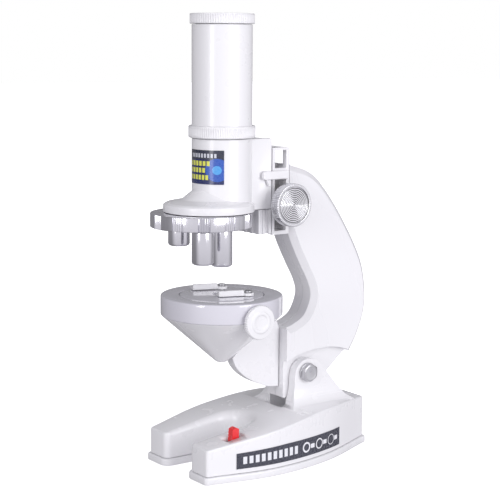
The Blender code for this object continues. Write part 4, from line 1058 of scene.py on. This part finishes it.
def curved_label(name, columns, low, high, thickness, outward):
    """A thin film through upright columns of (x, y) points; low and high give its edges at each column."""
    form = bmesh.new()
    layer = form.loops.layers.uv.new("label")
    total = [0.0]
    for a, b in zip(columns, columns[1:]):
        total.append(total[-1] + (Vector(b) - Vector(a)).length)
    grid = []
    for i, (x, y) in enumerate(columns):
        out = Vector(outward(i)) * thickness
        z0, z1 = low(i), high(i)
        corners = ((0, z0), (0, z1), (1, z1), (1, z0))
        grid.append([form.verts.new((x + dx * out.x, y + dx * out.y, z)) for dx, z in corners])
    uvs = {}
    for i, column in enumerate(grid):
        for k, v in enumerate(column):
            uvs[v] = (total[i] / total[-1], 1.0 if k in (1, 2) else 0.0)
    for a, b in zip(grid, grid[1:]):
        for k in range(4):
            m = (k + 1) % 4
            form.faces.new((a[k], b[k], b[m], a[m]))
    form.faces.new(grid[0])
    form.faces.new(grid[-1])
    for face in form.faces:
        for loop in face.loops:
            loop[layer].uv = uvs[loop.vert]
    return new_object(name, form, 50)


def make_labels():
    low, high = span("head_label")
    r = 14.5
    start, end = -112, -30.5
    steps = 40
    turn = [math.radians(start + (end - start) * i / steps) for i in range(steps + 1)]
    columns = [((r + 0.1) * math.cos(a), (r + 0.1) * math.sin(a)) for a in turn]
    sticker = curved_label("head_sticker", columns, lambda i: low.z, lambda i: high.z, 0.15,
                           lambda i: (math.cos(turn[i]), math.sin(turn[i])))
    MATERIALS["sticker"] = label_shader("sticker_print", paint_sticker)
    finish(sticker, "head", ["head_label"], "sticker")

    side = [p for p in smooth_run(BASE_PLAN, 24) if -11.2 < p[1] < 57.2]
    count = len(side)

    def edge(*marks):
        """The height at each column, straight between (y, z) marks."""
        def height(i):
            y = side[i][1]
            for (y0, z0), (y1, z1) in zip(marks, marks[1:]):
                if y <= y1 or (y1, z1) == marks[-1]:
                    return z0 + (z1 - z0) * (y - y0) / (y1 - y0)
        return height

    def outward(i):
        a, b = Vector(side[max(i - 1, 0)]), Vector(side[min(i + 1, count - 1)])
        along = (b - a).normalized()
        return along.y, -along.x

    columns = [(x + 0.08 * outward(i)[0], y + 0.08 * outward(i)[1]) for i, (x, y) in enumerate(side)]
    strip = curved_label("base_strip", columns, edge((-11.0, 6.0), (57.0, 5.8)),
                         edge((-11.0, 13.6), (17.5, 14.7), (57.0, 14.8)), 0.15, outward)
    MATERIALS["strip"] = label_shader("strip_print", paint_strip)
    finish(strip, "base", ["base_label"], "strip")


# ------------------------------------------------------------------ the rest of the CAD nodes

CARRIED = {
    "screw": ["base_screw_1", "base_screw_2", "base_screw_3", "base_screw_4", "arm_screw_top",
              "arm_screw_bottom", "bracket_screw_top", "bracket_screw_bottom", "slide_screw_top",
              "slide_screw_bottom", "turret_screw"],
    "black": ["switch_body", "lamp_carrier"],
    "nylon": ["focus_rack", "pinion_shaft"],
    "glass": ["lens_high", "lens_mid", "lens_low", "field_lens", "eyepiece_lens", "lamp_led"],
    "mirror": ["lamp_mirror"],
    "cell": ["battery_left", "battery_right"],
    "contact": ["battery_contact_front", "battery_contact_rear"],
}


def dress_carried():
    """Gives the CAD nodes that stay as they are a material of the scene."""
    for look, names in CARRIED.items():
        for name in names:
            for slot in NODES[name].material_slots:
                slot.material = MATERIALS[look]


# ------------------------------------------------------------------ studio

def turned_to(degrees):
    """The level direction at so many degrees anticlockwise from +X, seen from above."""
    return Vector((math.cos(math.radians(degrees)), math.sin(math.radians(degrees)), 0))


def make_floor():
    form = bmesh.new()
    bmesh.ops.create_grid(form, x_segments=2, y_segments=2, size=6.0)
    mesh = bpy.data.meshes.new("floor")
    form.to_mesh(mesh)
    form.free()
    floor = bpy.data.objects.new("floor", mesh)
    bpy.context.scene.collection.objects.link(floor)
    floor.location.z = -0.0002
    made, tree, shader = material("floor_paper")
    shades = [(0.3, (0.80, 0.80, 0.81)), (0.7, (0.82, 0.82, 0.83))]
    tree.links.new(ramp(tree, noise(tree, 3.0, 2.0), shades), shader.inputs["Base Color"])
    shader.inputs["Roughness"].default_value = 0.9
    shader.inputs["Emission Color"].default_value = (1, 1, 1, 1)
    shader.inputs["Emission Strength"].default_value = 0.8
    mesh.materials.append(made)
    floor.visible_diffuse = False
    floor.visible_glossy = False


def smooth_step(tree, value, start, end, low, high):
    made = node(tree, "ShaderNodeMapRange", {"Value": value, "From Min": start, "From Max": end,
                                             "To Min": low, "To Max": high}, interpolation_type="SMOOTHSTEP")
    return made.outputs["Result"]


def make_sky():
    """A pale studio, brighter on the key side and darker below, with a white backdrop."""
    world = bpy.data.worlds.new("studio")
    bpy.context.scene.world = world
    world.use_nodes = True
    tree = world.node_tree
    way = node(tree, "ShaderNodeTexCoord").outputs["Generated"]
    facing = node(tree, "ShaderNodeVectorMath", {0: way, 1: turned_to(-12)}, operation="DOT_PRODUCT")
    rise = node(tree, "ShaderNodeSeparateXYZ", {"Vector": way}).outputs["Z"]
    side = smooth_step(tree, facing.outputs["Value"], -0.35, 0.6, 0.31, 0.90)
    above = smooth_step(tree, rise, -0.9, 0.0, 0.75, 1.0)
    level = math_node(tree, "MULTIPLY", side, above)
    sky = tree.nodes["Background"]
    sky.inputs["Color"].default_value = (0.955, 0.94, 1.0, 1)
    tree.links.new(level, sky.inputs["Strength"])
    backdrop = node(tree, "ShaderNodeBackground", {"Color": (1, 1, 1, 1), "Strength": 1.0})
    seen = node(tree, "ShaderNodeLightPath").outputs["Is Camera Ray"]
    mixed = node(tree, "ShaderNodeMixShader", {0: seen, 1: sky.outputs[0], 2: backdrop.outputs[0]})
    tree.links.new(mixed.outputs[0], tree.nodes["World Output"].inputs["Surface"])


def softbox(name, degrees, away, width, height, brightness):
    """An upright soft light that stands on the floor and faces the object; lengths in metres."""
    light = bpy.data.lights.new(name, "AREA")
    light.shape = "RECTANGLE"
    light.size, light.size_y = width, height
    light.energy = brightness * math.pi * width * height
    item = bpy.data.objects.new(name, light)
    bpy.context.scene.collection.objects.link(item)
    item.location = turned_to(degrees) * away + Vector((0, 0, height / 2 + 0.02))
    item.rotation_euler = (-turned_to(degrees)).to_track_quat("-Z", "Y").to_euler()
    item.visible_camera = False
    return item


def make_studio():
    make_floor()
    make_sky()
    softbox("key", 12, 1.2, 0.6, 0.8, 4.3)
    softbox("strip", -74, 1.2, 0.3, 0.9, 5.2)
    softbox("rear", 144, 1.4, 1.1, 0.9, 2.6).visible_glossy = False


def make_camera():
    """The view from the front right, a little above the stage."""
    target = place(8.08, 11.18, 106.97)
    azimuth, elevation, away = math.radians(54.15), math.radians(8.55), 0.65765
    level_share = math.cos(elevation)
    back = Vector((math.sin(azimuth) * level_share, -math.cos(azimuth) * level_share, math.sin(elevation)))
    camera = bpy.data.cameras.new("camera")
    camera.sensor_width = 36.0
    camera.lens = 97.59
    camera.clip_start = 0.01
    item = bpy.data.objects.new("camera", camera)
    bpy.context.scene.collection.objects.link(item)
    item.location = target + back * away
    level = back.to_track_quat("Z", "Y").to_matrix().to_4x4()
    roll = Matrix.Rotation(math.radians(0.35), 4, "Z")
    item.matrix_world = Matrix.Translation(item.location) @ level @ roll
    bpy.context.scene.camera = item


make_base()
make_switch()
make_hinge()
make_arm()
make_rail()
make_stage()
make_clips()
make_lamp()
make_knobs()
make_head()
make_slide()
make_tube()
make_turret()
make_labels()
dress_carried()
make_studio()
make_camera()
bpy.context.scene.view_settings.view_transform = "Standard"
